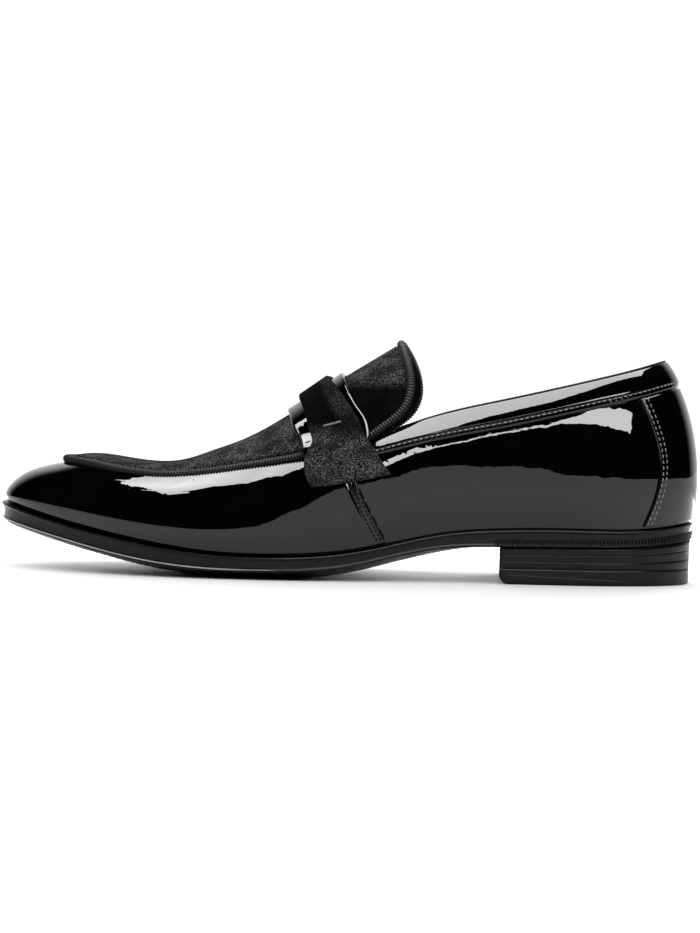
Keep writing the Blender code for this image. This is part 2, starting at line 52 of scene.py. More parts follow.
# Driving sizes of the shoe, as in the part's source
LENGTH = 306.0
GAP = 0.3
UPPER_WALL = 1.8
PLUG_THICKNESS = 3.0
PIPING_RADIUS = 1.75
SADDLE_THICKNESS = 2.0
STRAP_THICKNESS = 2.3
COLLAR_HEIGHT = 12.4
OVERLAY_THICKNESS = 1.0
INSOLE_THICKNESS = 2.5
INSOLE_CLEARANCE = 0.8
HEEL_BREAST = 84.0
HEEL_LIFT_HEIGHT = 6.4
PIPING_DROP = 3.4
PIPING_EASE = 10.0
COLLAR_TOP, COLLAR_CORNER, COLLAR_CORNER_TURN = 0.2, 2.8, 0.12
COLLAR_FRONT = 135.0

# The sole: half widths in plan, heights of its edge and of its tread along the middle
SOLE_BACK, SOLE_TIP = 1.7, 306.0
SOLE_BACK_RADIUS, SOLE_TIP_RADIUS = 33.0, 27.0
TOE_SHIFT = 4.0
SOLE_COLUMNS = ("station", "lateral", "medial", "edge_bottom", "edge_top", "tread")
SOLE = (
    (SOLE_BACK, 0.0, 0.0, 19.3, 26.3, 19.3),
    (20.0, 27.0, 27.0, 16.9, 23.7, 16.9),
    (45.0, 35.0, 34.5, 16.0, 23.1, 16.0),
    (65.0, 36.8, 35.2, 15.8, 23.1, 15.8),
    (84.0, 37.8, 34.6, 15.5, 22.5, 15.5),
    (108.0, 40.2, 33.6, 14.3, 20.3, 12.4),
    (130.0, 43.6, 35.4, 9.8, 15.4, 7.0),
    (150.0, 47.6, 39.8, 5.3, 11.4, 2.0),
    (170.0, 51.0, 45.6, 3.5, 9.7, -0.4),
    (190.0, 52.5, 50.2, 3.1, 9.4, -0.6),
    (212.0, 51.6, 52.5, 3.7, 10.5, -0.4),
    (235.0, 47.6, 50.8, 6.1, 13.4, 2.6),
    (258.0, 40.2, 45.0, 10.3, 17.5, 7.4),
    (280.0, 30.0, 35.8, 15.1, 22.2, 12.6),
    (295.0, 19.2, 25.4, 18.4, 25.8, 16.6),
    (SOLE_TIP, 0.0, 0.0, 20.8, 28.4, 20.0),
)
TREAD_FLAT_SHARE = 0.45

# Side of the sole from the tread up, with its lip, groove and bead rounded:
# inset from the edge, share of the edge's height, and rise
SOLE_EDGE_COLUMNS = ("inset", "share", "rise")
SOLE_EDGE = (
    (1.5, 0.0, 0.0),
    (0.9, 0.0, 0.05),
    (0.45, 0.0, 0.22),
    (0.15, 0.0, 0.5),
    (0.03, 0.0, 0.8),
    (0.06, 0.0, 1.05),
    (0.25, 0.0, 1.22),
    (0.52, 0.0, 1.34),
    (0.68, 0.0, 1.55),
    (0.70, 0.0, 1.9),
    (0.70, 0.25, 1.2),
    (0.67, 0.5, 0.3),
    (0.64, 0.75, -0.7),
    (0.60, 1.0, -1.7),
    (0.56, 1.0, -1.25),
    (0.40, 1.0, -1.02),
    (0.15, 1.0, -0.86),
    (0.02, 1.0, -0.62),
    (0.03, 1.0, -0.35),
    (0.14, 1.0, -0.12),
    (0.32, 1.0, 0.0),
)

# The upper's wall: insets of its foot and of its fullest line from the sole's edge, and the rise between
WALL_COLUMNS = ("station", "feather_inset", "girth_lateral", "girth_medial", "girth_rise")
WALL = (
    (SOLE_BACK, 1.2, -0.4, -0.4, 18.0),
    (45.0, 1.6, -1.0, -1.2, 21.0),
    (84.0, 2.2, -0.6, -2.4, 23.5),
    (120.0, 2.8, 0.0, -4.0, 23.5),
    (145.0, 3.4, 0.8, -2.8, 21.0),
    (170.0, 3.7, 1.7, 0.5, 15.5),
    (200.0, 3.9, 2.0, 1.9, 10.0),
    (240.0, 4.0, 2.2, 2.2, 8.8),
    (280.0, 3.9, 2.6, 2.6, 6.6),
    (SOLE_TIP, 3.6, 2.2, 2.2, 2.4),
)

# The upper's top edge, round the plug in front and the foot opening behind.
# Lean is how far the wall has turned inwards there, in degrees from upright.
TOP_BACK, TOP_TIP = 15.8, 273.5
TOP_BACK_RADIUS, TOP_TIP_RADIUS = 17.0, 17.5
TOP_SHIFT = 2.5
TOP_COLUMNS = ("station", "lateral", "medial", "height", "lean")
TOP = (
    (TOP_BACK, 0.0, 0.0, 95.4, 34.0),
    (26.0, 18.0, 18.0, 92.0, 31.0),
    (42.0, 25.6, 25.6, 87.5, 27.0),
    (62.0, 29.4, 29.4, 82.4, 24.0),
    (86.0, 31.8, 31.4, 76.7, 22.0),
    (112.0, 33.6, 32.4, 70.0, 22.0),
    (138.0, 34.8, 33.0, 60.6, 26.0),
    (164.0, 34.0, 33.2, 52.9, 37.0),
    (188.0, 32.0, 32.6, 47.4, 49.0),
    (208.0, 30.2, 31.6, 43.4, 57.0),
    (226.0, 28.2, 30.2, 41.7, 62.0),
    (246.0, 24.2, 26.6, 43.6, 67.0),
    (260.0, 18.2, 20.8, 45.5, 70.0),
    (TOP_TIP, 0.0, 0.0, 46.4, 74.0),
)

# The plug: how far its crown stands ahead of and above its rims
RIM_STEP = 0.85
RIM_LIFT = 3.2
LEAST_ARC = 0.05
PLUG_THROAT = 141.0
CROWN_COLUMNS = ("station", "ahead", "height")
CROWN = (
    (PLUG_THROAT, 14.0, 23.2),
    (155.0, 12.5, 18.3),
    (170.0, 9.5, 14.0),
    (190.0, 6.0, 8.9),
    (210.0, 2.0, 6.6),
    (222.0, 0.6, 4.3),
    (236.0, 0.0, 2.4),
    (252.0, 0.0, 1.7),
    (265.0, 0.0, 1.4),
    (TOP_TIP, 0.0, 0.0),
)
TONGUE_LENGTH = 28.8
TONGUE_RISE_DEG = 32.0
TONGUE_CORNER_POWER = 4.0

# Layers over the instep: how high the undersides of the saddle band and the strap lie.
# Place 0 is the ridge of the instep and place 1 the strap's sewn end.
# On the wall, "at" is the drop below the top edge, and on the plug it is the place across it.
GIRTH_COLUMNS = ("place", "on", "at", "saddle_lift", "strap_lift")
GIRTH = (
    (1.00, "wall", 22.8, 0.3, 0.4),
    (0.92, "wall", 17.4, 0.3, 1.0),
    (0.84, "wall", 12.0, 0.9, 3.3),
    (0.76, "wall", 7.5, 2.8, 5.5),
    (0.69, "wall", PIPING_DROP, 4.3, 6.9),
    (0.62, "plug", 0.93, 0.6, 3.3),
    (0.50, "plug", 0.75, 0.3, 2.9),
    (0.33, "plug", 0.50, 0.3, 2.8),
    (0.17, "plug", 0.25, 0.3, 2.8),
    (0.00, "plug", 0.0, 0.3, 2.8),
)
GIRTH_FRONT, GIRTH_REAR, GIRTH_SECTIONS = 170.0, 122.0, 13
EDGE_COLUMNS = ("place", "front", "rear")

# The saddle band's and the strap's edges, as stations of the rim that they cross, at places along the girth
SADDLE = (
    (0.00, 167.5, 139.4),
    (0.50, 167.5, 138.9),
    (0.62, 167.3, 138.4),
    (0.69, 165.0, 137.2),
    (0.82, 159.5, 136.0),
)
STRAP = (
    (0.00, 159.5, 144.5),
    (0.33, 159.3, 142.4),
    (0.50, 160.5, 141.3),
    (0.62, 162.0, 141.0),
    (0.69, 160.4, 138.9),
    (0.76, 160.8, 135.6),
    (0.84, 160.2, 131.9),
    (1.00, 153.6, 124.6),
)

# The counter's front edges, as turns in degrees, at shares of its height from the sole up
COUNTER_COLUMNS = ("share", "turn")
COUNTER = ((0.0, 31.2), (0.25, 27.8), (0.5, 26.4), (0.75, 27.4), (1.0, 28.7))
COUNTER_FOOT = 1.5

# Heel: inset of its wall from the sole's edge, and the depth and places of its lift lines
HEEL_INSET_TOP, HEEL_INSET_BOTTOM = 0.7, 1.2
LIFT_LINE_DEPTH, LIFT_LINE_HALF_SHARE = 0.2, 0.016
LIFT_LINE_SHARES = (0.34, 0.67)
LIFT_LINE_SHAPE = ((-1.0, 0.0), (-0.5, 0.75), (0.0, 1.0), (0.5, 0.75), (1.0, 0.0))
LIFT_BEVEL = 0.8
BREAST_ROUND = 4.3

# How many steps the fine meshes have
OUTLINE_STEPS = 320
WALL_ROWS, FOLD_ROWS, TUCK_ROWS, LINING_ROWS = 64, 4, 12, 30
ROUND_STEPS = 5
VAMP_STEPS, SEAM_STEPS, COLLAR_STEPS = 400, 34, 700
COLLAR_RIM_STEPS, COLLAR_RIM_SIDES = 500, 12
PLUG_STEPS, PLUG_ACROSS, TONGUE_STEPS = 150, 72, 36
APRON_STEPS, TONGUE_RIM_STEPS = 160, 70
STITCH_RINGS, STITCH_SIDES = 7, 8
TREAD_ACROSS, SEAT_ACROSS = 49, 7
LIP_LINE_STEPS, LIP_LINE_SIDES = 210, 10
HEEL_STEPS, HEEL_ACROSS, HEEL_LEVELS = 110, 25, 9
LIFT_BEVEL_LEVELS, LIFT_LEVELS = 5, 12
PLATE_STEPS, KNURL_STEPS = 120, 1500

# About how large some sheets are, and how far apart their points lie
COLLAR_SPACING = 0.4
COUNTER_WIDTH, COUNTER_HEIGHT, COUNTER_SPACING = 70.0, 50.0, (0.7, 0.8)
GIRTH_LENGTH, GIRTH_SPACING = 130.0, 0.8
BAND_WIDTH, SADDLE_SPACING, STRAP_SPACING = 26.0, 0.7, 0.5
PLATE_HEIGHT, PLATE_SPACING = 3.5, 0.3
INSOLE_WIDTH, INSOLE_SPACING = 70.0, 2.0

# Radii of rounded edges
OVERLAY_EDGE_RADIUS = 0.9
PLUG_EDGE_RADIUS = 1.5
SADDLE_EDGE_RADIUS = 0.9
STRAP_EDGE_RADIUS = 1.4
INSOLE_EDGE_RADIUS = 1.6
PLATE_EDGE_RADIUS = 0.2
THIN_EDGE_SHARE = 0.9

# Layers of the upper and of the plug: a patent skin folded over the top edge, and linings inside
SKIN = 0.9
LINING_THICKNESS = 1.3
LAYER_GAP = 0.05
FOLD_DROP = 3.2

# The vamp laps over the quarters: the turns of its rear edge, in degrees, at the top edge and at the sole,
# the shares of the wall that it spans, and the channels that its seam sinks into it
SEAM_TOP_DEG, SEAM_FOOT_DEG = 90.8, 81.2
VAMP_LIFT, VAMP_THICKNESS = 0.03, 0.7
VAMP_TOP_SHARE, VAMP_FOOT_SHARE = 0.02, 0.995
SEAM_CHANNEL, SEAM_CHANNEL_DEPTH, SEAM_MARGIN = 0.5, 0.35, 5.6

# Soft troughs and ridges of the wall: where they cross it, how they slant, how far down they lie,
# and how long, wide and deep they are
CREASE_COLUMNS = ("station", "slant", "drop", "spread", "width", "depth")
CREASES = (
    (172.0, -0.25, 20.0, 10.0, 4.5, 0.22),
    (184.0, -0.18, 17.0, 9.0, 5.0, -0.16),
    (196.0, -0.10, 15.0, 8.0, 4.5, 0.20),
    (214.0, 0.05, 13.0, 7.0, 6.0, -0.12),
    (232.0, 0.20, 12.0, 7.0, 5.0, 0.12),
    (70.0, 0.10, 30.0, 9.0, 9.0, 0.18),
    (98.0, -0.15, 26.0, 9.0, 10.0, -0.16),
    (122.0, 0.20, 24.0, 8.0, 8.0, 0.16),
)

# A soft ridge of the vamp along the piping: how high it stands at stations of the rim, and the drops it spans
RIDGE_COLUMNS = ("station", "height")
RIDGE = (
    (140.0, 0.0),
    (158.0, 0.2),
    (172.0, 0.8),
    (190.0, 1.2),
    (208.0, 1.45),
    (226.0, 1.5),
    (244.0, 1.3),
    (256.0, 0.8),
    (266.0, 0.2),
    (TOP_TIP, 0.0),
)
RIDGE_START, RIDGE_CREST, RIDGE_FOOT = 1.2, 4.2, 15.0

# The collar band's swell, the channel and puckers of its stitches, and the bead on its top edge
COLLAR_BULGE, COLLAR_SWELL_SHARE, COLLAR_ROUND_POWER = 0.9, 0.3, 3.5
STITCH_CHANNEL, STITCH_DEPTH, PUCKER_SHARE = 0.55, 0.22, 0.4
COLLAR_RIM_DROP, COLLAR_RIM_LIFT, COLLAR_RIM_RADIUS = 0.0, 0.55, 0.5

# Stitching: a stitch rises off the surface in its middle and dips into it at its ends
COLLAR_STITCH_UP, COLLAR_STITCH_PERIOD = 1.9, 2.4
COUNTER_STITCH_INSETS, COUNTER_STITCH_PERIOD = (1.6, 3.5), 2.4
SEAM_STITCH_INSETS, SEAM_STITCH_PERIOD = (1.6, 3.6), 1.9
SEAM_THREAD_RADIUS, SEAM_STITCH_SHARE = 0.4, 0.8
RAW_EDGE_PERIOD, RAW_EDGE_RADIUS, RAW_EDGE_SHARE = 6.0, 0.42, 1.1
THREAD_RADIUS = 0.26
STITCH_SHARE = 0.74
STITCH_RISE, STITCH_DIP = 0.55, 1.3
STITCH_TRIM = 3

# Bar tacks of the strap: where they lie, and the lift, reach and size of their threads
TACK_PLACE, TACK_SPAN, TACK_WIDTH, TACK_PERIOD = 0.60, (7.6, 15.2), 1.3, 0.34
TACK_LIFT, TACK_REACH, TACK_RADIUS_SHARE, TACK_STITCH_SHARE = 0.3, 0.52, 0.62, 0.98

# Piping: ribs, and how it sits on the tongue's edge
CORD_RADIUS = 1.8
RIB_PERIOD, RIB_DEPTH, RIB_SLANT, RIB_POWER = 1.3, 0.5, 0.12, 1.5
RIB_SAMPLES, CORD_SIDES = 8, 16
CORD_RISE, CORD_INSET = 1.0, 0.7
TONGUE_FLANGE = 2.0

# The sole's tread ribs and the line of painted highlight on its lip
TREAD_RIB_DEPTH, TREAD_RIB_PERIOD = 0.45, 3.2
TREAD_RIB_START, TREAD_RIB_END, TREAD_RIB_EASE = 160.0, 262.0, 6.0
TREAD_RIB_REACH, TREAD_RIB_FADE = 0.86, 0.1
LIP_LINE_START, LIP_LINE_EASE = 158.0, 45.0
LIP_LINE_INSET, LIP_LINE_RISE, LIP_LINE_RADIUS = 0.3, 1.1, 0.34

# Wear plates in the heel's top lift, and the milled band round the sole's edge over the heel
PLATE_SETBACK, PLATE_END, PLATE_TOP, PLATE_FOOT = 3.2, 30.0, (4.2, 2.2), 0.9
PLATE_INSET, PLATE_LIFT = 0.1, 0.3
KNURL_PERIOD, KNURL_INSET, KNURL_DEPTH, KNURL_THICKNESS = 1.55, -0.15, 0.95, 0.9
KNURL_OVERRUN, KNURL_STEEPNESS = 2.0, 1.6
KNURL_PROFILE = ((0.4, 0.0), (0.55, 0.6), (0.7, 1.0), (1.7, 1.0), (2.9, 1.0), (3.1, 0.6), (3.25, 0.0))

# Where the velvet's sheen is painted into its colour as light specks, where the nap is brushed up: a
# direction, where the painted sheen turns along it, and its shares there
UPWARDS, REAR, UP_AND_REAR = (0.0, 0.0, 1.0), (1.0, 0.0, 0.0), (0.832, 0.0, 0.555)
PLUG_PAINTED_SHEEN = (
    (REAR, -16.0, -8.0, 1.0, 0.04),
    (UPWARDS, 80.0, 88.0, 0.04, 1.0),
)
STRAP_PAINTED_SHEEN = (
    (UPWARDS, 58.0, 68.0, 0.9, 0.03),
    (UP_AND_REAR, 36.0, 39.0, 0.03, 0.34),
)

# The set: the floor's size, how far it stays dull, and how bright the backdrop and the mirrored room are
FLOOR_SIZE, FLOOR_GREY = 8000.0, 0.86
FLOOR_GLOW_RANGE, FLOOR_GLOW = (500.0, 4000.0), 0.9
BACKDROP_GLOW, ROOM_GLOW, BACK_GLOW = 1.05, 0.0, 1.0
BACK_GLOW_RANGE, LOW_GLOW_RANGE = (0.45, 0.8), (0.5, 0.8)
WHITE = (1.0, 1.0, 1.0, 1.0)
SOFTBOX_COLUMNS = ("name", "place", "facing", "width", "height", "radiance")
SOFTBOXES = (
    ("overhead_fill", (0.0, 0.0, 1500.0), (0.0, 0.0, -1.0), 5000.0, 5000.0, 1.58),
    ("low_back_fill", (0.0, 420.0, 50.0), (0.0, -1.0, -0.1), 700.0, 80.0, 60.0),
)
# Cards that the patent mirrors: the low one rises out of the floor in front,
# and the others hang over or beside the shoe
CARD_COLUMNS = ("name", "place", "facing", "width", "height", "glow", "roll_deg")
CARDS = (
    ("low_card", (-33.0, -600.0, -194.0), (-0.87, 1.0, -0.89), 892.0, 237.0, 1.08, 42.5),
    ("toe_card", (-187.0, 77.5, 400.0), (0.0, 0.01, -1.0), 44.0, 165.0, 10.5, 0.0),
    ("instep_card", (-144.9, 9.5, 400.0), (0.0, 0.01, -1.0), 159.0, 68.0, 10.5, -53.5),
    ("saddle_card", (-149.0, -1.0, 250.0), (0.0, 0.01, -1.0), 13.0, 94.0, 10.5, 0.0),
    ("collar_card", (168.0, -60.0, 350.0), (0.45, 0.15, -1.0), 264.0, 471.0, 12.0, 0.0),
    ("quarter_card", (456.0, -635.0, 503.0), (-0.18, 1.0, 0.89), 428.0, 529.0, 14.0, -30.6),
    ("line_front_card", (24.0, -600.0, 405.0), (0.0, 1.0, 0.0), 110.0, 12.0, 14.0, -66.6),
    ("line_middle_card", (72.0, -600.0, 350.0), (0.0, 1.0, 0.0), 58.0, 16.0, 14.0, 0.0),
    ("line_rear_card", (144.0, -600.0, 395.0), (0.0, 1.0, 0.0), 110.0, 18.0, 14.0, 37.3),
)
CARD_PATCH, CARD_UNEVENNESS = 300.0, 0.02

# Camera
CAMERA_DISTANCE, CAMERA_HEIGHT = 1000.0, 74.1
CAMERA_YAW_DEG, CAMERA_ROLL_DEG = 5.0, 1.2
CAMERA_AIM = (1.95, 0.0, 47.1)
FOCAL_PIXELS, IMAGE_HEIGHT, SENSOR = 2280.0, 933.0, 36.0


def column(table, names, name):
    """One named column of a table."""
    return np.array([row[names.index(name)] for row in table])


def spline(knots, values):
    """The natural cubic through values at the knots, as a function."""
    t = np.asarray(knots, float)
    v = np.asarray(values, float)
    step = np.diff(t).reshape(-1, *[1] * (v.ndim - 1))
    slope = np.diff(v, axis=0) / step
    size = len(t)
    matrix = np.eye(size)
    right = np.zeros_like(v)
    for i in range(1, size - 1):
        before, after = t[i] - t[i - 1], t[i + 1] - t[i]
        matrix[i, i - 1 : i + 2] = before, 2 * (before + after), after
        right[i] = 6 * (slope[i] - slope[i - 1])
    bend = np.linalg.solve(matrix, right.reshape(size, -1)).reshape(v.shape)

    def at(places):
        places = np.asarray(places, float)
        i = np.clip(np.searchsorted(t, places) - 1, 0, size - 2)
        shape = (*places.shape, *[1] * (v.ndim - 1))
        width = (t[i + 1] - t[i]).reshape(shape)
        b = ((places - t[i]).reshape(shape)) / width
        a = 1 - b
        curve = (a**3 - a) * bend[i] + (b**3 - b) * bend[i + 1]
        return a * v[i] + b * v[i + 1] + curve * width**2 / 6

    return at


def table_spline(table, names, name, key="station"):
    """A named column of a table as a smooth function of another column."""
    keys = column(table, names, key)
    order = np.argsort(keys)
    return spline(keys[order], column(table, names, name)[order])


def table_splines(table, names, *wanted):
    """Several columns of a table as smooth functions of the station."""
    return [table_spline(table, names, name) for name in wanted]


def run_along(points, axis=0):
    """Distances along the lines of points that run along an axis."""
    steps = np.linalg.norm(np.diff(points, axis=axis), axis=-1)
    start = np.zeros_like(np.take(steps, [0], axis=axis))
    return np.concatenate([start, np.cumsum(steps, axis=axis)], axis=axis)


def read_along(places, run, values):
    """Points or directions of a line at places along its run."""
    return np.stack([np.interp(places, run, values[:, axis]) for axis in range(3)], axis=-1)


def round_angles(sides):
    return np.linspace(0, 2 * math.pi, sides, endpoint=False)


class PlanLine:
    """A closed outline in plan, round at its back and at its tip."""

    def __init__(self, table, names, radii, tip_shift):
        stations = column(table, names, "station")
        self.back = stations[0]
        self.half = (stations[-1] - stations[0]) / 2
        self.tip_shift = tip_shift
        turns = self.turn_at(stations)
        ends = [math.sqrt(radius * self.half) for radius in radii]
        middle = turns[1:-1]
        self.fullness = {}
        for side, name in ((1, "lateral"), (-1, "medial")):
            widths = column(table, names, name)[1:-1] + side * self.centre(middle)
            self.fullness[side] = spline(turns, [ends[0], *(widths / np.sin(middle)), ends[1]])

    def turn_at(self, station):
        """The turn, 0 to pi, at a station."""
        return np.arccos(np.clip(1 - (np.asarray(station) - self.back) / self.half, -1, 1))

    def station(self, turn):
        return self.back + self.half * (1 - np.cos(turn))

    def centre(self, turn):
        return self.tip_shift * ((1 - np.cos(turn)) / 2) ** 4

    def at(self, turn):
        """X and Y at a turn."""
        angle = np.abs(turn)
        lateral = self.centre(angle) - np.sin(angle) * self.fullness[1](angle)
        medial = self.centre(angle) + np.sin(angle) * self.fullness[-1](angle)
        across = np.where(np.asarray(turn) >= 0, lateral, medial)
        return np.stack([LENGTH / 2 - self.station(turn), across], axis=-1)

    def inset(self, turn, distance):
        """X and Y at a turn, moved inwards from the line."""
        small = 1e-3
        along = self.at(turn + small) - self.at(turn - small)
        along /= np.linalg.norm(along, axis=-1, keepdims=True)
        inwards = np.stack([along[..., 1], -along[..., 0]], axis=-1)
        return self.at(turn) + inwards * np.asarray(distance)[..., None]


SOLE_LINE = PlanLine(SOLE, SOLE_COLUMNS, (SOLE_BACK_RADIUS, SOLE_TIP_RADIUS), TOE_SHIFT)
TOP_LINE = PlanLine(TOP, TOP_COLUMNS, (TOP_BACK_RADIUS, TOP_TIP_RADIUS), TOP_SHIFT)
EDGE_BOTTOM, EDGE_TOP, TREAD = table_splines(SOLE, SOLE_COLUMNS, "edge_bottom", "edge_top", "tread")
FEATHER_INSET, GIRTH_LATERAL, GIRTH_MEDIAL, GIRTH_RISE = table_splines(WALL, WALL_COLUMNS, *WALL_COLUMNS[1:])
TOP_HEIGHT, TOP_LEAN = table_splines(TOP, TOP_COLUMNS, "height", "lean")
CROWN_AHEAD, CROWN_HEIGHT = table_splines(CROWN, CROWN_COLUMNS, "ahead", "height")
THROAT_TURN = float(TOP_LINE.turn_at(PLUG_THROAT))
COLLAR_END_TURN = float(TOP_LINE.turn_at(COLLAR_FRONT))


def station_of(points):
    return LENGTH / 2 - points[..., 0]


def unit(vector):
    return vector / np.maximum(np.linalg.norm(vector, axis=-1, keepdims=True), 1e-12)


def with_height(plan, height):
    return np.concatenate([plan, np.asarray(height)[..., None]], axis=-1)


def smooth_step(share):
    share = np.clip(share, 0, 1)
    return share**2 * (3 - 2 * share)


def wall_guides(turn):
    """Guide points of the upper's outer wall at turns, from sole to top edge, and their places along it."""
    station = SOLE_LINE.station(turn)
    foot = SOLE_LINE.inset(turn, FEATHER_INSET(station))
    foot_height = EDGE_TOP(station_of(foot)) + GAP
    girth_inset = np.where(turn >= 0, GIRTH_LATERAL(station), GIRTH_MEDIAL(station))
    girth = SOLE_LINE.inset(turn, girth_inset)
    girth_height = foot_height + GIRTH_RISE(station)
    top = TOP_LINE.at(turn)
    top_station = TOP_LINE.station(turn)
    lean = np.radians(TOP_LEAN(top_station))
    guides = [with_height(foot, foot_height)]
    for share in (0.0, 1 / 3, 2 / 3, 1.0):
        inwards = (1 - np.cos(share * lean)) / (1 - np.cos(lean))
        upwards = np.sin(share * lean) / np.sin(lean)
        plan = girth + (top - girth) * inwards[..., None]
        guides.append(with_height(plan, girth_height + (TOP_HEIGHT(top_station) - girth_height) * upwards))
    guides = np.stack(guides, axis=-2)
    return guides, run_along(guides, axis=guides.ndim - 2)


def wall_curve(guides, places):
    """The natural cubic through each turn's own guides, as a function of places along it."""
    step = np.diff(places, axis=-1)
    slope = np.diff(guides, axis=-2) / step[..., None]
    inner = step.shape[-1] - 1
    matrix = np.zeros((*step.shape[:-1], inner, inner))
    for i in range(inner):
        matrix[..., i, i] = 2 * (step[..., i] + step[..., i + 1])
        if i:
            matrix[..., i, i - 1] = matrix[..., i - 1, i] = step[..., i]
    bend = np.linalg.solve(matrix, 6 * np.diff(slope, axis=-2))
    ends = np.zeros_like(bend[..., :1, :])
    bend = np.concatenate([ends, bend, ends], axis=-2)

    def at(place):
        i = (place[..., None] >= places[..., 1:-1]).sum(axis=-1)

        def pick(values, number):
            index = number.reshape(*number.shape, *[1] * (values.ndim - number.ndim))
            return np.take_along_axis(values, index, axis=number.ndim)[..., 0, :]

        width = pick(step[..., None], i)
        b = (place[..., None] - pick(places[..., None], i)) / width
        a = 1 - b
        curve = (a**3 - a) * pick(bend, i) + (b**3 - b) * pick(bend, i + 1)
        return a * pick(guides, i) + b * pick(guides, i + 1) + curve * width**2 / 6

    return at


def wall_length(turn):
    """Length of the wall from sole to top edge at turns."""
    return wall_guides(np.asarray(turn, float))[1][..., -1]


def wall_points(turn, drop, lift=0.0):
    """Points of the upper's outer wall at turns and drops, lifted off it."""
    turn, drop, lift = np.broadcast_arrays(np.asarray(turn, float), drop, lift)
    small_turn, small_drop = 2e-3, 0.1
    guides, places = wall_guides(turn)
    curve = wall_curve(guides, places)
    length = places[..., -1]
    share = (length - drop) / length
    along = []
    for side in (-1, 1):
        near_guides, near_places = wall_guides(turn + side * small_turn)
        along.append(wall_curve(near_guides, near_places)(share * near_places[..., -1]))
    up = curve(length - drop + small_drop) - curve(length - drop - small_drop)
    return curve(length - drop) + unit(np.cross(up, along[1] - along[0])) * lift[..., None]


def crease_lift(turn, drop):
    """How far the soft troughs and ridges move the wall."""
    station = SOLE_LINE.station(turn)
    lift = np.zeros(np.broadcast(turn, drop).shape)
    for row in CREASES:
        crease = dict(zip(CREASE_COLUMNS, row))
        across = station - crease["station"] - crease["slant"] * (drop - crease["drop"])
        along = drop - crease["drop"]
        lift -= crease["depth"] * np.exp(-((across / crease["width"]) ** 2) - (along / crease["spread"]) ** 2)
    return lift + ridge_lift(turn, drop)


def ridge_lift(turn, drop):
    """How far the ridge along the piping lifts the wall: steep beside the cord and easing out below it."""
    station = TOP_LINE.station(turn)
    height = np.interp(station, *(column(RIDGE, RIDGE_COLUMNS, name) for name in RIDGE_COLUMNS))
    rise = smooth_step((drop - RIDGE_START) / (RIDGE_CREST - RIDGE_START))
    fall = np.clip((RIDGE_FOOT - drop) / (RIDGE_FOOT - RIDGE_CREST), 0, 1) ** 2
    return height * np.minimum(rise, fall)


def plug_row(turn, places):
    """The plug's outer face between its rims at a turn, at places from -1, lateral, to 1, medial."""
    lateral, medial = wall_points([turn, -turn], -RIM_STEP, RIM_LIFT)
    station = TOP_LINE.station(turn)
    crown = np.array([-float(CROWN_AHEAD(station)), 0.0, float(CROWN_HEIGHT(station))])
    half_width = np.linalg.norm(medial - lateral) / 2
    arc = max(LEAST_ARC, 2 * math.atan2(crown[2], max(half_width, 1.0)))
    places = np.asarray(places, float)[:, None]
    across = np.sin(places * arc) / math.sin(arc)
    rise = (np.cos(places * arc) - math.cos(arc)) / (1 - math.cos(arc))
    return (lateral + medial) / 2 + (medial - lateral) / 2 * across + crown * rise


def plug_places(count):
    """Places across the plug, closer together towards its rims."""
    return np.sin(np.linspace(-math.pi / 2, math.pi / 2, count + 1))


def tongue_back():
    """The way the tongue runs, back and up from the throat."""
    rise = math.radians(TONGUE_RISE_DEG)
    return np.array([math.cos(rise), 0.0, math.sin(rise)])


def tongue_row(share, places, length=TONGUE_LENGTH):
    """The tongue's outer face at a share of its length behind the throat."""
    corner = np.clip(1 - np.abs(places) ** TONGUE_CORNER_POWER, 0, 1) ** (1 / TONGUE_CORNER_POWER)
    reach = length * share * corner
    return plug_row(THROAT_TURN, places) + reach[:, None] * tongue_back()


def plug_rows(tongue_length=TONGUE_LENGTH):
    """Rows of the plug's outer face, from the front of the apron to the end of the tongue."""
    places = plug_places(PLUG_ACROSS)
    turns = np.linspace(math.pi, THROAT_TURN, PLUG_STEPS)
    rows = [plug_row(turn, places) for turn in turns]
    shares = np.sin(np.linspace(0, math.pi / 2, TONGUE_STEPS + 1))[1:]
    rows += [tongue_row(share, places, tongue_length) for share in shares]
    return np.array(rows)


def tongue_rim_places(steps):
    """Places round the tongue's end, spread evenly along its edge."""
    turn = math.pi / 2 * smooth_step(np.linspace(0, 1, steps + 1))
    half = np.cos(turn) ** (2 / TONGUE_CORNER_POWER)
    half[-1] = 0.0
    return np.concatenate([-half, half[-2::-1]])


def piping_route():
    """Centre of the piping: on the wall beside the apron's rims, and on the tongue's edge."""
    lift = PIPING_RADIUS + GAP
    turns = np.linspace(math.pi, THROAT_TURN, APRON_STEPS)
    lateral = wall_points(turns, PIPING_DROP, lift)
    medial = wall_points(-turns, PIPING_DROP, lift)
    places = tongue_rim_places(TONGUE_RIM_STEPS)
    end = tongue_row(1.0, places)
    reach = np.linalg.norm(end - tongue_row(0.0, places), axis=1)
    face = unit(np.cross(tongue_back(), np.gradient(tongue_row(0.0, places), axis=0)))
    outwards = unit(np.cross(np.gradient(end, axis=0), face))
    beside = outwards * (lift - CORD_INSET) + face * (CORD_RISE - PLUG_THICKNESS / 2)
    at_throat = np.where(places[:, None] < 0, lateral[-1] - end[0], medial[-1] - end[-1])
    share = smooth_step(reach / PIPING_EASE)[:, None]
    rim = end + at_throat * (1 - share) + beside * share
    return np.concatenate([lateral[:-1], rim, medial[-2:0:-1]])


def girth_guides(layer):
    """The guides of a layer in order along the girth, with places from -1, lateral, to 1, medial."""
    lift = GIRTH_COLUMNS.index(layer)
    medial = [(row[0], row[1], row[2], row[lift]) for row in GIRTH]
    lateral = [(-row[0], *row[1:]) for row in medial]
    return lateral + medial[-2::-1]


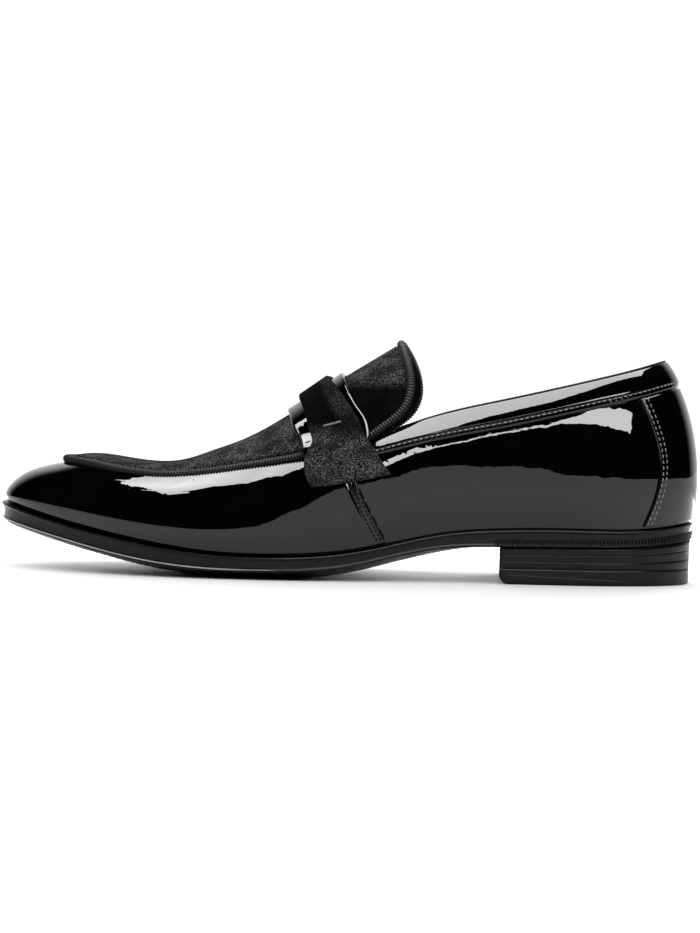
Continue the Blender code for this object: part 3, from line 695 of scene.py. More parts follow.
def girth_points(turn, layer):
    """Guide points of a layer's underside over the instep at a turn, from lateral to medial."""
    small_place, small_turn = 0.02, 0.01
    points = []
    for place, on, at, lift in girth_guides(layer):
        side = 1 if place <= 0 else -1
        if on == "wall":
            points.append(wall_points(side * turn, at, lift))
        else:
            near = plug_row(turn, np.array([-small_place, 0.0, small_place]) - side * at)
            ahead = plug_row(turn + small_turn, [-side * at])[0]
            points.append(near[1] + lift * unit(np.cross(near[2] - near[0], ahead - near[1])))
    return points


def layer_surface(layer):
    """The underside of a layer over the instep, as a function of rim stations and places of one length."""
    sections = np.linspace(GIRTH_REAR, GIRTH_FRONT, GIRTH_SECTIONS)
    guide_places = [guide[0] for guide in girth_guides(layer)]
    along = spline(sections, [girth_points(float(TOP_LINE.turn_at(s)), layer) for s in sections])

    def at(stations, places):
        across = spline(guide_places, along(stations).transpose(1, 0, 2))(places)
        each = np.arange(len(places))
        return across[each, each]

    return at


def across_rows(left, right, shares):
    """Rows of points from one line of points to another."""
    shares = np.asarray(shares)[None, :, None]
    return left[:, None, :] * (1 - shares) + right[:, None, :] * shares


def outline_turns():
    """Turns all the way round, from toe to toe by the medial side and the back."""
    return np.linspace(-math.pi, math.pi, 2 * OUTLINE_STEPS + 1)[:-1]


def facing_lines(ring):
    """The lateral and medial halves of a ring as two lines from toe to back."""
    steps = len(ring) // 2
    medial = ring[: steps + 1]
    lateral = np.concatenate([ring[:1], ring[: steps - 1 : -1]])
    return lateral, medial


# Meshes from sheets of points


def quads(rows, columns, wrap_rows=False, wrap_columns=False):
    """Corner numbers of the faces of a sheet of points."""
    i, j = np.meshgrid(
        np.arange(rows if wrap_rows else rows - 1),
        np.arange(columns if wrap_columns else columns - 1),
        indexing="ij",
    )
    down, after = (i + 1) % rows, (j + 1) % columns
    corners = [i * columns + j, down * columns + j, down * columns + after, i * columns + after]
    return np.stack(corners, axis=-1).reshape(-1, 4)


def closed_body(outer, inner):
    """Points and faces of the body between two sheets, closed along their free edges."""
    rows, columns = outer.shape[:2]
    count = rows * columns
    number = np.arange(count).reshape(rows, columns)
    faces = quads(rows, columns)
    parts = [faces, faces[:, ::-1] + count]
    for edge in (number[0], number[-1], number[:, 0], number[:, -1]):
        parts.append(np.stack([edge[:-1], edge[1:], edge[1:] + count, edge[:-1] + count], axis=-1))
    return np.concatenate([outer.reshape(-1, 3), inner.reshape(-1, 3)]), np.concatenate(parts)


def joined(bodies):
    """Several lots of points and faces as one."""
    points, faces, count = [], [], 0
    for some_points, some_faces in bodies:
        points.append(some_points)
        faces.append(some_faces + count)
        count += len(some_points)
    return np.concatenate(points), np.concatenate(faces)


def sheet(points, **wraps):
    """A sheet of points as points and faces."""
    return points.reshape(-1, 3), quads(*points.shape[:2], **wraps)


def sheet_normals(points):
    return unit(np.cross(np.gradient(points, axis=0), np.gradient(points, axis=1)))


def edge_distance(points):
    """Distance of each point of a sheet from its nearest edge, along its rows and columns."""
    nearest = None
    for axis in (0, 1):
        run = run_along(points, axis)
        near = np.minimum(run, np.take(run, [-1], axis=axis) - run)
        nearest = near if nearest is None else np.minimum(nearest, near)
    return nearest


def rounded(distance, thickness, radius):
    """Thickness of a sheet at a distance from its rounded edge."""
    inside = np.clip(1 - distance / radius, 0, 1)
    return thickness - radius * (1 - np.sqrt(1 - inside**2))


def edge_steps(radius):
    """Distances from an edge, closer together towards it."""
    return radius * (1 - np.cos(np.linspace(0, math.pi / 2, ROUND_STEPS + 1)))


def edge_shares(width, radius, step):
    """Shares across a width, closer together over the rounded edges."""
    bend = edge_steps(radius)
    count = max(2, round((width - 2 * radius) / step))
    middle = np.linspace(radius, width - radius, count + 1)[1:-1]
    return np.concatenate([bend, middle, width - bend[::-1]]) / width


def crowned_body(under, thickness, radius, outwards=1.0, bulge=0.0):
    """A body over a sheet of points, rounded down along its edges, and its upper face."""
    normals = sheet_normals(under) * outwards
    height = rounded(edge_distance(under), thickness, radius) + bulge
    top = under + normals * height[..., None]
    return closed_body(top, under), top


def add_object(name, data):
    item = bpy.data.objects.new(name, data)
    bpy.context.scene.collection.objects.link(item)
    return item


def add_piece(name, body, material, nodes=()):
    """A welded, outward facing mesh that rides on the shoe's one body and stands for nodes of the frame."""
    points, faces = body
    mesh = bpy.data.meshes.new(name)
    mesh.from_pydata((points * MM).tolist(), [], faces.tolist())
    shape = bmesh.new()
    shape.from_mesh(mesh)
    bmesh.ops.remove_doubles(shape, verts=shape.verts, dist=1e-7)
    bmesh.ops.recalc_face_normals(shape, faces=shape.faces)
    shape.to_mesh(mesh)
    shape.free()
    mesh.shade_smooth()
    mesh.materials.append(material)
    item = add_object(name, mesh)
    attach(item, "root")
    if nodes:
        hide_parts(*nodes)


def stitch_bodies(line, normals, period, radius=THREAD_RADIUS, share=STITCH_SHARE):
    """Threads along a line of points: short bent capsules whose ends dip into the surface."""
    run = run_along(line)
    count = int(run[-1] / period)
    middles = (np.arange(count) + 0.5) * run[-1] / count
    along = np.linspace(-1, 1, STITCH_RINGS)
    place = middles[:, None] + along * period * share / 2
    normal = unit(read_along(place, run, normals))
    lift = radius * (STITCH_RISE - STITCH_DIP * along**4)
    centre = read_along(place, run, line) + normal * lift[None, :, None]
    tangent = unit(np.gradient(centre, axis=1))
    side = unit(np.cross(tangent, normal))
    angles = round_angles(STITCH_SIDES)
    ring = np.cos(angles)[:, None] * normal[:, :, None, :] + np.sin(angles)[:, None] * side[:, :, None, :]
    size = radius * np.sqrt(np.clip(1 - np.abs(along) ** 3, 0, 1))
    points = centre[:, :, None, :] + ring * size[None, :, None, None]
    one = quads(STITCH_RINGS, STITCH_SIDES, wrap_columns=True)
    step = STITCH_RINGS * STITCH_SIDES
    faces = (one[None] + step * np.arange(count)[:, None, None]).reshape(-1, 4)
    return points.reshape(-1, 3), faces


# Materials


def grey(level):
    return (level, level, level)


class NodeTree:
    """The nodes of a material or of the world in the making."""

    def __init__(self, owner):
        owner.use_nodes = True
        self.nodes = owner.node_tree.nodes
        self.links = owner.node_tree.links

    def ramp(self, value, low, high, start, end):
        """A value remapped smoothly from low and high to start and end."""
        remap = self.nodes.new("ShaderNodeMapRange")
        remap.interpolation_type = "SMOOTHSTEP"
        for socket, number in zip(("From Min", "From Max", "To Min", "To Max"), (low, high, start, end)):
            remap.inputs[socket].default_value = number
        self.links.new(value, remap.inputs["Value"])
        return remap.outputs["Result"]

    def maths(self, operation, first, second):
        node = self.nodes.new("ShaderNodeMath")
        node.operation = operation
        self.links.new(first, node.inputs[0])
        self.links.new(second, node.inputs[1])
        return node.outputs[0]


class Finish(NodeTree):
    """A node material with its shader and with textures in the shoe's own millimetres."""

    def __init__(self, name, colour, roughness, **sockets):
        self.material = bpy.data.materials.new(name)
        super().__init__(self.material)
        self.shader = self.nodes["Principled BSDF"]
        self.shader.inputs["Base Color"].default_value = (*colour, 1.0)
        self.shader.inputs["Roughness"].default_value = roughness
        for socket, value in sockets.items():
            self.shader.inputs[socket.replace("_", " ")].default_value = value
        self.place = self.nodes.new("ShaderNodeTexCoord").outputs["Object"]

    def noise(self, size, detail=2.0, roughness=0.5, stretch=(1.0, 1.0, 1.0)):
        """A noise whose grain has about this size."""
        mapping = self.nodes.new("ShaderNodeMapping")
        mapping.inputs["Scale"].default_value = stretch
        self.links.new(self.place, mapping.inputs["Vector"])
        texture = self.nodes.new("ShaderNodeTexNoise")
        texture.inputs["Scale"].default_value = 1 / (size * MM)
        texture.inputs["Detail"].default_value = detail
        texture.inputs["Roughness"].default_value = roughness
        self.links.new(mapping.outputs["Vector"], texture.inputs["Vector"])
        return texture.outputs["Fac"]

    def along(self, direction):
        """Distance along a direction of the shoe, in metres."""
        dot = self.nodes.new("ShaderNodeVectorMath")
        dot.operation = "DOT_PRODUCT"
        self.links.new(self.place, dot.inputs[0])
        dot.inputs[1].default_value = direction
        return dot.outputs["Value"]

    def cells(self, size):
        """Distance from the middles of cells of about this size."""
        texture = self.nodes.new("ShaderNodeTexVoronoi")
        texture.inputs["Scale"].default_value = 1 / (size * MM)
        self.links.new(self.place, texture.inputs["Vector"])
        return texture.outputs["Distance"]

    def colours(self, value, dark, light):
        """The base colour between two colours by a value."""
        mix = self.nodes.new("ShaderNodeMix")
        mix.data_type = "RGBA"
        sockets = {socket.identifier: socket for socket in mix.inputs}
        sockets["A_Color"].default_value = (*dark, 1.0)
        sockets["B_Color"].default_value = (*light, 1.0)
        self.links.new(value, sockets["Factor_Float"])
        result = {socket.identifier: socket for socket in mix.outputs}["Result_Color"]
        self.links.new(result, self.shader.inputs["Base Color"])

    def roughness(self, value):
        self.links.new(value, self.shader.inputs["Roughness"])

    def bump(self, value, height, socket="Normal", after=None):
        """A relief of this height in millimetres."""
        bump = self.nodes.new("ShaderNodeBump")
        bump.inputs["Strength"].default_value = 1.0
        bump.inputs["Distance"].default_value = height * MM
        self.links.new(value, bump.inputs["Height"])
        if after is not None:
            self.links.new(after, bump.inputs["Normal"])
        self.links.new(bump.outputs["Normal"], self.shader.inputs[socket])
        return bump.outputs["Normal"]


def patent_leather():
    """Near-black leather with a fine grain, under a mirror coat that is not quite even."""
    finish = Finish(
        "patent_leather", grey(0.001), 0.5,
        Coat_Weight=1.0, Coat_Roughness=0.012, Coat_IOR=1.5, Specular_IOR_Level=0.0,
    )
    finish.colours(finish.noise(14.0, 3.0), (0.0006, 0.0006, 0.0007), (0.0016, 0.0016, 0.0017))
    finish.bump(finish.cells(0.55), 0.03)
    finish.bump(finish.noise(7.0, 2.0), 0.05, socket="Coat Normal")
    return finish.material


def velvet(name, sheen_zones):
    """Short dense pile: black, with light specks painted into its colour as the pile's sheen, where the nap
    is brushed up.

    Each zone has a direction, the two distances along it between which the painted sheen turns, and its
    shares there.
    """
    finish = Finish(
        name, grey(0.004), 0.9,
        Sheen_Weight=0.02, Sheen_Roughness=0.4, Sheen_Tint=(0.8, 0.8, 0.82, 1.0), Specular_IOR_Level=0.0,
    )
    glint_specks = finish.ramp(finish.noise(0.5, 2.0, 0.65), 0.44, 0.70, 0.0, 1.0)
    patches = finish.ramp(finish.noise(9.0, 3.0, 0.6), 0.36, 0.64, 0.35, 1.0)
    painted_sheen = None
    for direction, start, end, low, high in sheen_zones:
        zone = finish.ramp(finish.along(direction), start * MM, end * MM, low, high)
        painted_sheen = zone if painted_sheen is None else finish.maths("MAXIMUM", painted_sheen, zone)
    # Light specks in the base colour, inside these zones, are painted sheen of the pile
    painted_glints = finish.maths("MULTIPLY", painted_sheen, finish.maths("MULTIPLY", glint_specks, patches))
    finish.colours(painted_glints, grey(0.002), (0.26, 0.26, 0.262))
    crush = finish.bump(finish.noise(3.0, 3.0, 0.6), 0.3)
    finish.bump(finish.noise(0.6, 2.0, 0.6), 0.4, after=crush)
    return finish.material


def piping_cord():
    """Black ribbed cord with a dull thread gloss."""
    finish = Finish("piping_cord", grey(0.005), 0.5, Specular_IOR_Level=0.2)
    finish.colours(finish.noise(0.5, 2.0), grey(0.004), grey(0.02))
    finish.bump(finish.noise(0.3, 2.0), 0.06)
    return finish.material


def sole_rubber():
    """Satin black rubber with a fine mould texture and faint scuffs."""
    finish = Finish(
        "sole_rubber", grey(0.003), 0.4,
        Specular_IOR_Level=0.12, Coat_Weight=0.2, Coat_Roughness=0.14,
    )
    finish.colours(finish.noise(11.0, 4.0), grey(0.0015), grey(0.0045))
    finish.roughness(finish.ramp(finish.noise(6.0, 4.0), 0.3, 0.7, 0.34, 0.5))
    finish.bump(finish.noise(0.8, 3.0, stretch=(0.25, 0.25, 1.0)), 0.05)
    return finish.material


def painted_lip_highlight():
    """The upper side of the sole's lip: glossy, with a light grey colour that is a painted highlight."""
    finish = Finish("painted_lip_highlight", grey(0.4), 0.25, Coat_Weight=1.0, Coat_Roughness=0.06)
    # These light greys are a painted highlight along the lip
    finish.colours(finish.noise(7.0, 3.0), grey(0.26), grey(0.5))
    finish.bump(finish.noise(0.8, 2.0), 0.02)
    return finish.material


def lining_leather():
    """Matt black lining leather with a pebbled grain."""
    finish = Finish("lining", grey(0.006), 0.6, Specular_IOR_Level=0.15)
    finish.colours(finish.noise(9.0, 3.0), grey(0.003), (0.009, 0.0087, 0.0084))
    finish.roughness(finish.ramp(finish.noise(5.0, 3.0), 0.3, 0.7, 0.5, 0.7))
    finish.bump(finish.cells(0.9), 0.12)
    return finish.material


def thread(name, dark, light, gloss=0.5):
    """Twisted sewing thread."""
    finish = Finish(name, light, 0.42, Specular_IOR_Level=gloss)
    finish.colours(finish.noise(0.35, 2.0), dark, light)
    finish.bump(finish.noise(0.2, 2.0, stretch=(1.0, 1.0, 2.5)), 0.05)
    return finish.material


PATENT = patent_leather()
# Both velvets carry painted sheen in their colour
VELVET = velvet("velvet", PLUG_PAINTED_SHEEN)
STRAP_VELVET = velvet("strap_velvet", STRAP_PAINTED_SHEEN)
CORD = piping_cord()
RUBBER = sole_rubber()
# Material of the painted highlight on the sole's lip
PAINTED_LIP_HIGHLIGHT = painted_lip_highlight()
LINING = lining_leather()
# This thread is coloured lighter grey than the dark thread it is, as a painted highlight
PAINTED_SHINE_THREAD = thread("thread", grey(0.10), grey(0.28))
DARK_THREAD = thread("dark_thread", grey(0.0005), grey(0.002), 0.1)
TACK_THREAD = thread("tack_thread", grey(0.06), grey(0.16))


# The upper


def ring_sheet(profile):
    """Rows of points round the upper from a profile of drops and lifts at each turn."""
    turns = outline_turns()
    drops, lifts = profile(turns, wall_length(turns))
    return wall_points(np.broadcast_to(turns, drops.shape), drops, lifts)


def skin_profile(turns, length):
    """Outside from the sole up, round the top edge, a fold inside and back down within the wall."""
    radius = UPPER_WALL / 2
    outside = length - np.linspace(0, 1, WALL_ROWS)[:, None] * (length - radius)
    bend = np.linspace(0, math.pi, 2 * ROUND_STEPS + 1)[1:-1, None]
    level = np.ones_like(length)[None]
    fold = np.linspace(radius, FOLD_DROP, FOLD_ROWS)[:, None] * level
    inside = FOLD_DROP + np.linspace(0, 1, TUCK_ROWS)[:, None] * (length - FOLD_DROP)
    drops = np.concatenate([outside, radius * (1 - np.sin(bend)) * level, fold, inside])
    lifts = np.concatenate([
        crease_lift(turns, outside),
        radius * (np.cos(bend) - 1) * level,
        np.full_like(fold, -UPPER_WALL),
        np.full_like(inside, -SKIN),
    ])
    return drops, lifts


def lining_profile(turns, length):
    """The lining inside the wall, from below the folded edge to the sole."""
    down = FOLD_DROP + LAYER_GAP + np.linspace(0, 1, LINING_ROWS)[:, None] * (length - FOLD_DROP - LAYER_GAP)
    drops = np.concatenate([down, down[::-1]])
    lifts = np.concatenate([np.full_like(down, -UPPER_WALL), np.full_like(down, -SKIN - LAYER_GAP)])
    return drops, lifts


def make_upper():
    ring = {"wrap_rows": True, "wrap_columns": True}
    skin = sheet(ring_sheet(skin_profile), **ring)
    add_piece("upper_quarters", skin, PATENT, ["upper"])
    lining = sheet(ring_sheet(lining_profile), **ring)
    add_piece("upper_lining", lining, LINING, ["upper"])


def seam_turn(share):
    """Turn of the vamp's rear edge at a share of the wall from the top edge down."""
    return np.radians(SEAM_TOP_DEG + (SEAM_FOOT_DEG - SEAM_TOP_DEG) * share)


def wrapped(turn):
    """Turns past the toe as turns of the medial side."""
    return np.where(turn > math.pi, turn - 2 * math.pi, turn)


def make_vamp():
    shares = np.linspace(VAMP_TOP_SHARE, VAMP_FOOT_SHARE, WALL_ROWS)[:, None]
    seam = seam_turn(shares)
    ends = edge_steps(VAMP_THICKNESS) / LENGTH * 2
    near_seam = SEAM_MARGIN / LENGTH * 2
    side = np.concatenate([ends, np.linspace(ends[-1], near_seam, SEAM_STEPS)[1:-1]])
    columns = np.concatenate([side, np.linspace(near_seam, 1 - near_seam, VAMP_STEPS), 1 - side[::-1]])
    turns = wrapped(seam + (2 * math.pi - 2 * seam) * columns)
    drops = shares * wall_length(turns)
    under = wall_points(turns, drops, VAMP_LIFT + crease_lift(turns, drops))
    run = run_along(under, axis=1)
    from_edge = np.minimum(run, run[:, -1:] - run)
    bulge = np.zeros(from_edge.shape)
    for inset in SEAM_STITCH_INSETS:
        bulge -= SEAM_CHANNEL_DEPTH * np.exp(-(((from_edge - inset) / SEAM_CHANNEL) ** 2))
    body, top = crowned_body(under, VAMP_THICKNESS, THIN_EDGE_SHARE * VAMP_THICKNESS, -1.0, bulge)
    add_piece("upper_vamp", body, PATENT, ["upper"])
    normals = -sheet_normals(top)
    seam_thread = (SEAM_STITCH_PERIOD, SEAM_THREAD_RADIUS, SEAM_STITCH_SHARE)
    rows = column_stitches(top, normals, SEAM_STITCH_INSETS, *seam_thread)
    rows += column_stitches(top, normals, (0.0,), RAW_EDGE_PERIOD, RAW_EDGE_RADIUS, RAW_EDGE_SHARE)
    add_piece("seam_stitches", joined(rows), DARK_THREAD)


def make_collar_band():
    turns = np.linspace(-COLLAR_END_TURN, COLLAR_END_TURN, COLLAR_STEPS)
    near_end = np.clip(1 - (COLLAR_END_TURN - np.abs(turns)) / COLLAR_CORNER_TURN, 0, 1)
    top = COLLAR_TOP + COLLAR_CORNER * near_end**2
    shares = edge_shares(COLLAR_HEIGHT, OVERLAY_EDGE_RADIUS, COLLAR_SPACING)[:, None]
    drops = COLLAR_HEIGHT + (top - COLLAR_HEIGHT) * shares
    under = wall_points(turns, drops, GAP)
    bulge = COLLAR_BULGE * smooth_step(shares / COLLAR_SWELL_SHARE) * (1 - shares**COLLAR_ROUND_POWER)
    from_stitch = (COLLAR_HEIGHT - COLLAR_STITCH_UP) - drops
    channel = np.exp(-((from_stitch / STITCH_CHANNEL) ** 2))
    wave = np.cos(2 * math.pi * run_along(under[0]) / COLLAR_STITCH_PERIOD)
    pucker = (1 - PUCKER_SHARE) + PUCKER_SHARE * wave
    bulge = bulge - STITCH_DEPTH * channel * pucker
    body, top_face = crowned_body(under, OVERLAY_THICKNESS, OVERLAY_EDGE_RADIUS, bulge=bulge)
    add_piece("collar_band_patent", body, PATENT, ["collar_band"])
    row = int(np.argmin(np.abs(from_stitch[:, len(turns) // 2])))
    normals = sheet_normals(top_face)
    stitches = stitch_bodies(top_face[row], normals[row], COLLAR_STITCH_PERIOD)
    add_piece("collar_stitches", stitches, PAINTED_SHINE_THREAD)


def make_collar_rim():
    """The matt folded edge along the collar's top."""
    turns = np.linspace(-COLLAR_END_TURN, COLLAR_END_TURN, COLLAR_RIM_STEPS)
    angles = round_angles(COLLAR_RIM_SIDES)[:, None]
    drops = COLLAR_RIM_DROP + COLLAR_RIM_RADIUS * np.cos(angles) * np.ones_like(turns)
    lifts = COLLAR_RIM_LIFT + COLLAR_RIM_RADIUS * np.sin(angles) * np.ones_like(turns)
    tube = wall_points(np.broadcast_to(turns, drops.shape), drops, lifts)
    add_piece("collar_rim", sheet(tube, wrap_rows=True), DARK_THREAD)


def counter_turns(shares):
    edge = table_spline(COUNTER, COUNTER_COLUMNS, "turn", key="share")
    return np.radians(edge(shares))


def make_heel_counter():
    shares = edge_shares(COUNTER_HEIGHT, OVERLAY_EDGE_RADIUS, COUNTER_SPACING[1])
    ends = counter_turns(shares)[:, None]
    columns = 2 * edge_shares(COUNTER_WIDTH, OVERLAY_EDGE_RADIUS, COUNTER_SPACING[0]) - 1
    turns = ends * columns
    length = wall_length(turns)
    drops = (length - COUNTER_FOOT) * (1 - shares[:, None]) + (COLLAR_HEIGHT + GAP) * shares[:, None]
    under = wall_points(turns, drops, GAP)
    body, top = crowned_body(under, OVERLAY_THICKNESS, OVERLAY_EDGE_RADIUS)
    add_piece("heel_counter_patent", body, PATENT, ["heel_counter"])
    rows = column_stitches(top, sheet_normals(top), COUNTER_STITCH_INSETS, COUNTER_STITCH_PERIOD)
    add_piece("counter_stitches", joined(rows), PAINTED_SHINE_THREAD)


def column_stitches(top, normals, insets, period, radius=THREAD_RADIUS, share=STITCH_SHARE):
    """Rows of stitches at insets from the first and from the last column of a sheet."""
    kept = slice(STITCH_TRIM, -STITCH_TRIM)
    rows = []
    for inset in insets:
        for points, facing in ((top, normals), (top[:, ::-1], normals[:, ::-1])):
            runs = run_along(points, axis=1)
            line = np.array([read_along(inset, *pair) for pair in zip(runs, points)])
            up = np.array([read_along(inset, *pair) for pair in zip(runs, facing)])
            rows.append(stitch_bodies(line[kept], unit(up)[kept], period, radius, share))
    return rows


# The plug, the piping and the bands over the instep


def make_plug():
    outer = plug_rows()
    normals = plug_normals(outer)
    under = outer - normals * PLUG_THICKNESS
    pile = rounded(edge_distance(outer), PLUG_THICKNESS - LINING_THICKNESS, PLUG_EDGE_RADIUS)
    middle = under + normals * LINING_THICKNESS
    velvet_body = closed_body(middle + normals * pile[..., None], middle)
    add_piece("vamp_plug_velvet", velvet_body, VELVET, ["vamp_plug"])
    longer = plug_rows(TONGUE_LENGTH + TONGUE_FLANGE)
    normals = plug_normals(longer)
    lining = closed_body(
        longer - normals * (PLUG_THICKNESS - LINING_THICKNESS + LAYER_GAP), longer - normals * PLUG_THICKNESS
    )
    add_piece("tongue_lining", lining, LINING, ["vamp_plug"])


def plug_normals(outer):
    """Outward normals of the plug's rows, with the point at its front taken from the row behind it."""
    normals = -sheet_normals(outer)
    normals[0] = normals[1]
    return normals * np.where(normals[..., 2:] < 0, -1, 1)


def make_piping():
    route = piping_route()
    closed = np.concatenate([route, route[:1]])
    run = run_along(closed)
    count = round(run[-1] / RIB_PERIOD) * RIB_SAMPLES
    place = np.arange(count) * run[-1] / count
    centre = spline(run, closed)(place)
    tangent = unit(np.roll(centre, -1, axis=0) - np.roll(centre, 1, axis=0))
    up = np.array(UPWARDS)
    upright = unit(up - (tangent @ up)[:, None] * tangent)
    side = np.cross(tangent, upright)
    angles = round_angles(CORD_SIDES)
    phase = 2 * math.pi * (np.arange(count) / RIB_SAMPLES)[:, None] + RIB_SLANT * np.sin(angles) * 2 * math.pi
    radius = CORD_RADIUS - RIB_DEPTH * (0.5 - 0.5 * np.cos(phase)) ** RIB_POWER
    ring = np.cos(angles)[:, None] * upright[:, None, :] + np.sin(angles)[:, None] * side[:, None, :]
    tube = centre[:, None, :] + ring * radius[..., None]
    body = sheet(tube, wrap_rows=True, wrap_columns=True)
    add_piece("plug_piping_cord", body, CORD, ["plug_piping"])


def girth_sheet(layer, edges, radius, step):
    """The underside of a band over the instep, between the edges of its table, and its places."""
    front = table_spline(edges, EDGE_COLUMNS, "front", key="place")
    rear = table_spline(edges, EDGE_COLUMNS, "rear", key="place")
    end = edges[-1][EDGE_COLUMNS.index("place")]
    places = end * (2 * edge_shares(GIRTH_LENGTH, radius, GIRTH_SPACING) - 1)
    surface = layer_surface(layer)
    rows = []
    for share in edge_shares(BAND_WIDTH, radius, step):
        rows.append(surface(front(np.abs(places)) * (1 - share) + rear(np.abs(places)) * share, places))
    return np.array(rows), places


def make_saddle_band():
    under = girth_sheet("saddle_lift", SADDLE, SADDLE_EDGE_RADIUS, SADDLE_SPACING)[0]
    body = crowned_body(under, SADDLE_THICKNESS, SADDLE_EDGE_RADIUS)[0]
    add_piece("saddle_band_patent", body, PATENT, ["saddle_band"])


def make_strap():
    under, places = girth_sheet("strap_lift", STRAP, STRAP_EDGE_RADIUS, STRAP_SPACING)
    body, top = crowned_body(under, STRAP_THICKNESS, STRAP_EDGE_RADIUS)
    add_piece("strap_velvet", body, STRAP_VELVET, ["strap"])
    normals = sheet_normals(top)
    tacks = [bar_tack(top, normals, places, side) for side in (-1, 1)]
    add_piece("strap_bar_tacks", joined(tacks), TACK_THREAD)


def bar_tack(top, normals, places, side):
    """A short bar of close threads laid side by side along the strap."""
    middle = int(np.argmin(np.abs(places - side * TACK_PLACE)))
    run = run_along(top[:, middle])
    across = unit(np.gradient(top, axis=1)[:, middle])
    reach = np.array([[-TACK_REACH], [0.0], [TACK_REACH]])
    radius = TACK_PERIOD * TACK_RADIUS_SHARE
    threads = []
    for place in np.arange(*TACK_SPAN, TACK_PERIOD):
        lines = (top[:, middle], normals[:, middle], across)
        point, facing, way = (read_along(place, run, values) for values in lines)
        line = point + TACK_LIFT * facing + reach * TACK_WIDTH * way
        upwards = np.array([facing] * len(line))
        threads.append(stitch_bodies(line, upwards, TACK_WIDTH, radius, TACK_STITCH_SHARE))
    return joined(threads)


# The sole, the heel and the insole


def sole_ring(turns, inset, share, rise):
    """One line along the sole's side: its inset, its share of the side's height, and its rise from there."""
    plan = SOLE_LINE.inset(turns, inset)
    station = station_of(plan)
    height = EDGE_BOTTOM(station) * (1 - share) + EDGE_TOP(station) * share + rise
    return with_height(plan, height)


def make_outsole():
    turns = outline_turns()
    rings = np.array([sole_ring(turns, **dict(zip(SOLE_EDGE_COLUMNS, row))) for row in SOLE_EDGE])
    lateral, medial = facing_lines(rings[0])
    shares = np.linspace(0, 1, TREAD_ACROSS)
    tread = across_rows(lateral, medial, shares)
    places = np.abs(2 * shares - 1)
    bend = np.clip((places - TREAD_FLAT_SHARE) / (1 - TREAD_FLAT_SHARE), 0, None) ** 2
    station = station_of(tread)
    middle = np.maximum(TREAD(station), 0.0)
    tread[..., 2] = middle + (tread[..., 2] - middle) * bend
    tread[..., 2] += TREAD_RIB_DEPTH * tread_ribs(station, places)
    seat = across_rows(*facing_lines(rings[-1]), np.linspace(0, 1, SEAT_ACROSS))
    body = joined([sheet(rings, wrap_columns=True), sheet(tread), sheet(seat)])
    add_piece("outsole_rubber", body, RUBBER, ["outsole"])


def make_lip_line():
    """A thin line of painted highlight on the lip of the forefoot, which runs out towards the waist."""
    start = float(SOLE_LINE.turn_at(LIP_LINE_START))
    half = np.linspace(start, math.pi, LIP_LINE_STEPS)
    turns = np.concatenate([half, -half[-2::-1]])
    radius = LIP_LINE_RADIUS * smooth_step((SOLE_LINE.station(turns) - LIP_LINE_START) / LIP_LINE_EASE)
    rings = []
    for angle in round_angles(LIP_LINE_SIDES):
        inset = LIP_LINE_INSET + radius * math.cos(angle)
        rings.append(sole_ring(turns, inset, 0.0, LIP_LINE_RISE + radius * math.sin(angle)))
    # The line's light grey colour is a painted highlight
    add_piece("sole_lip_line", sheet(np.array(rings), wrap_rows=True), PAINTED_LIP_HIGHLIGHT)


def tread_ribs(station, places):
    """Fine cross grooves under the forefoot, fading out towards the sole's edge and its waist."""
    wave = np.clip(np.cos(2 * math.pi * station / TREAD_RIB_PERIOD), 0, 1)
    inside = smooth_step((TREAD_RIB_REACH - places) / TREAD_RIB_FADE)
    start = smooth_step((station - TREAD_RIB_START) / TREAD_RIB_EASE)
    end = smooth_step((TREAD_RIB_END - station) / TREAD_RIB_EASE)
    return wave * inside * (start * end)


def heel_level(inset, breast, height):
    """One line round the heel from breast to breast, at a height that may follow the station."""
    turn = float(SOLE_LINE.turn_at(breast))
    turns = np.linspace(-turn, turn, 2 * HEEL_STEPS + 1)
    plan = SOLE_LINE.inset(turns, inset)
    plan[[0, -1], 0] = LENGTH / 2 - breast
    return with_height(plan, height(station_of(plan)))


def heel_body(levels):
    """A heel piece from its levels, closed across the breast, on top and underneath."""
    levels = np.array(levels)
    shares = np.linspace(0, 1, HEEL_ACROSS)
    steps = levels.shape[1] // 2
    sheets = [sheet(levels), sheet(across_rows(levels[:, 0], levels[:, -1], shares))]
    for level in (levels[0], levels[-1]):
        sheets.append(sheet(across_rows(level[steps::-1], level[steps:], shares)))
    return joined(sheets)


def seat_height(station):
    """Top of the heel block, just under the sole."""
    return np.minimum(EDGE_BOTTOM(station), TREAD(station)) - GAP


def make_heel_block():
    floor = HEEL_LIFT_HEIGHT + GAP
    steps = {share: 0.0 for share in np.linspace(0, 1, HEEL_LEVELS)}
    for line in LIFT_LINE_SHARES:
        for move, depth in LIFT_LINE_SHAPE:
            steps[line + move * LIFT_LINE_HALF_SHARE] = depth * LIFT_LINE_DEPTH
    levels = []
    for share, depth in sorted(steps.items()):
        inset = HEEL_INSET_BOTTOM + (HEEL_INSET_TOP - HEEL_INSET_BOTTOM) * share + depth

        def height(station, share=share):
            return floor + (seat_height(station) - floor) * share

        levels.append(heel_level(inset, HEEL_BREAST, height))
    add_piece("heel_block_rubber", heel_body(levels), RUBBER, ["heel_block"])


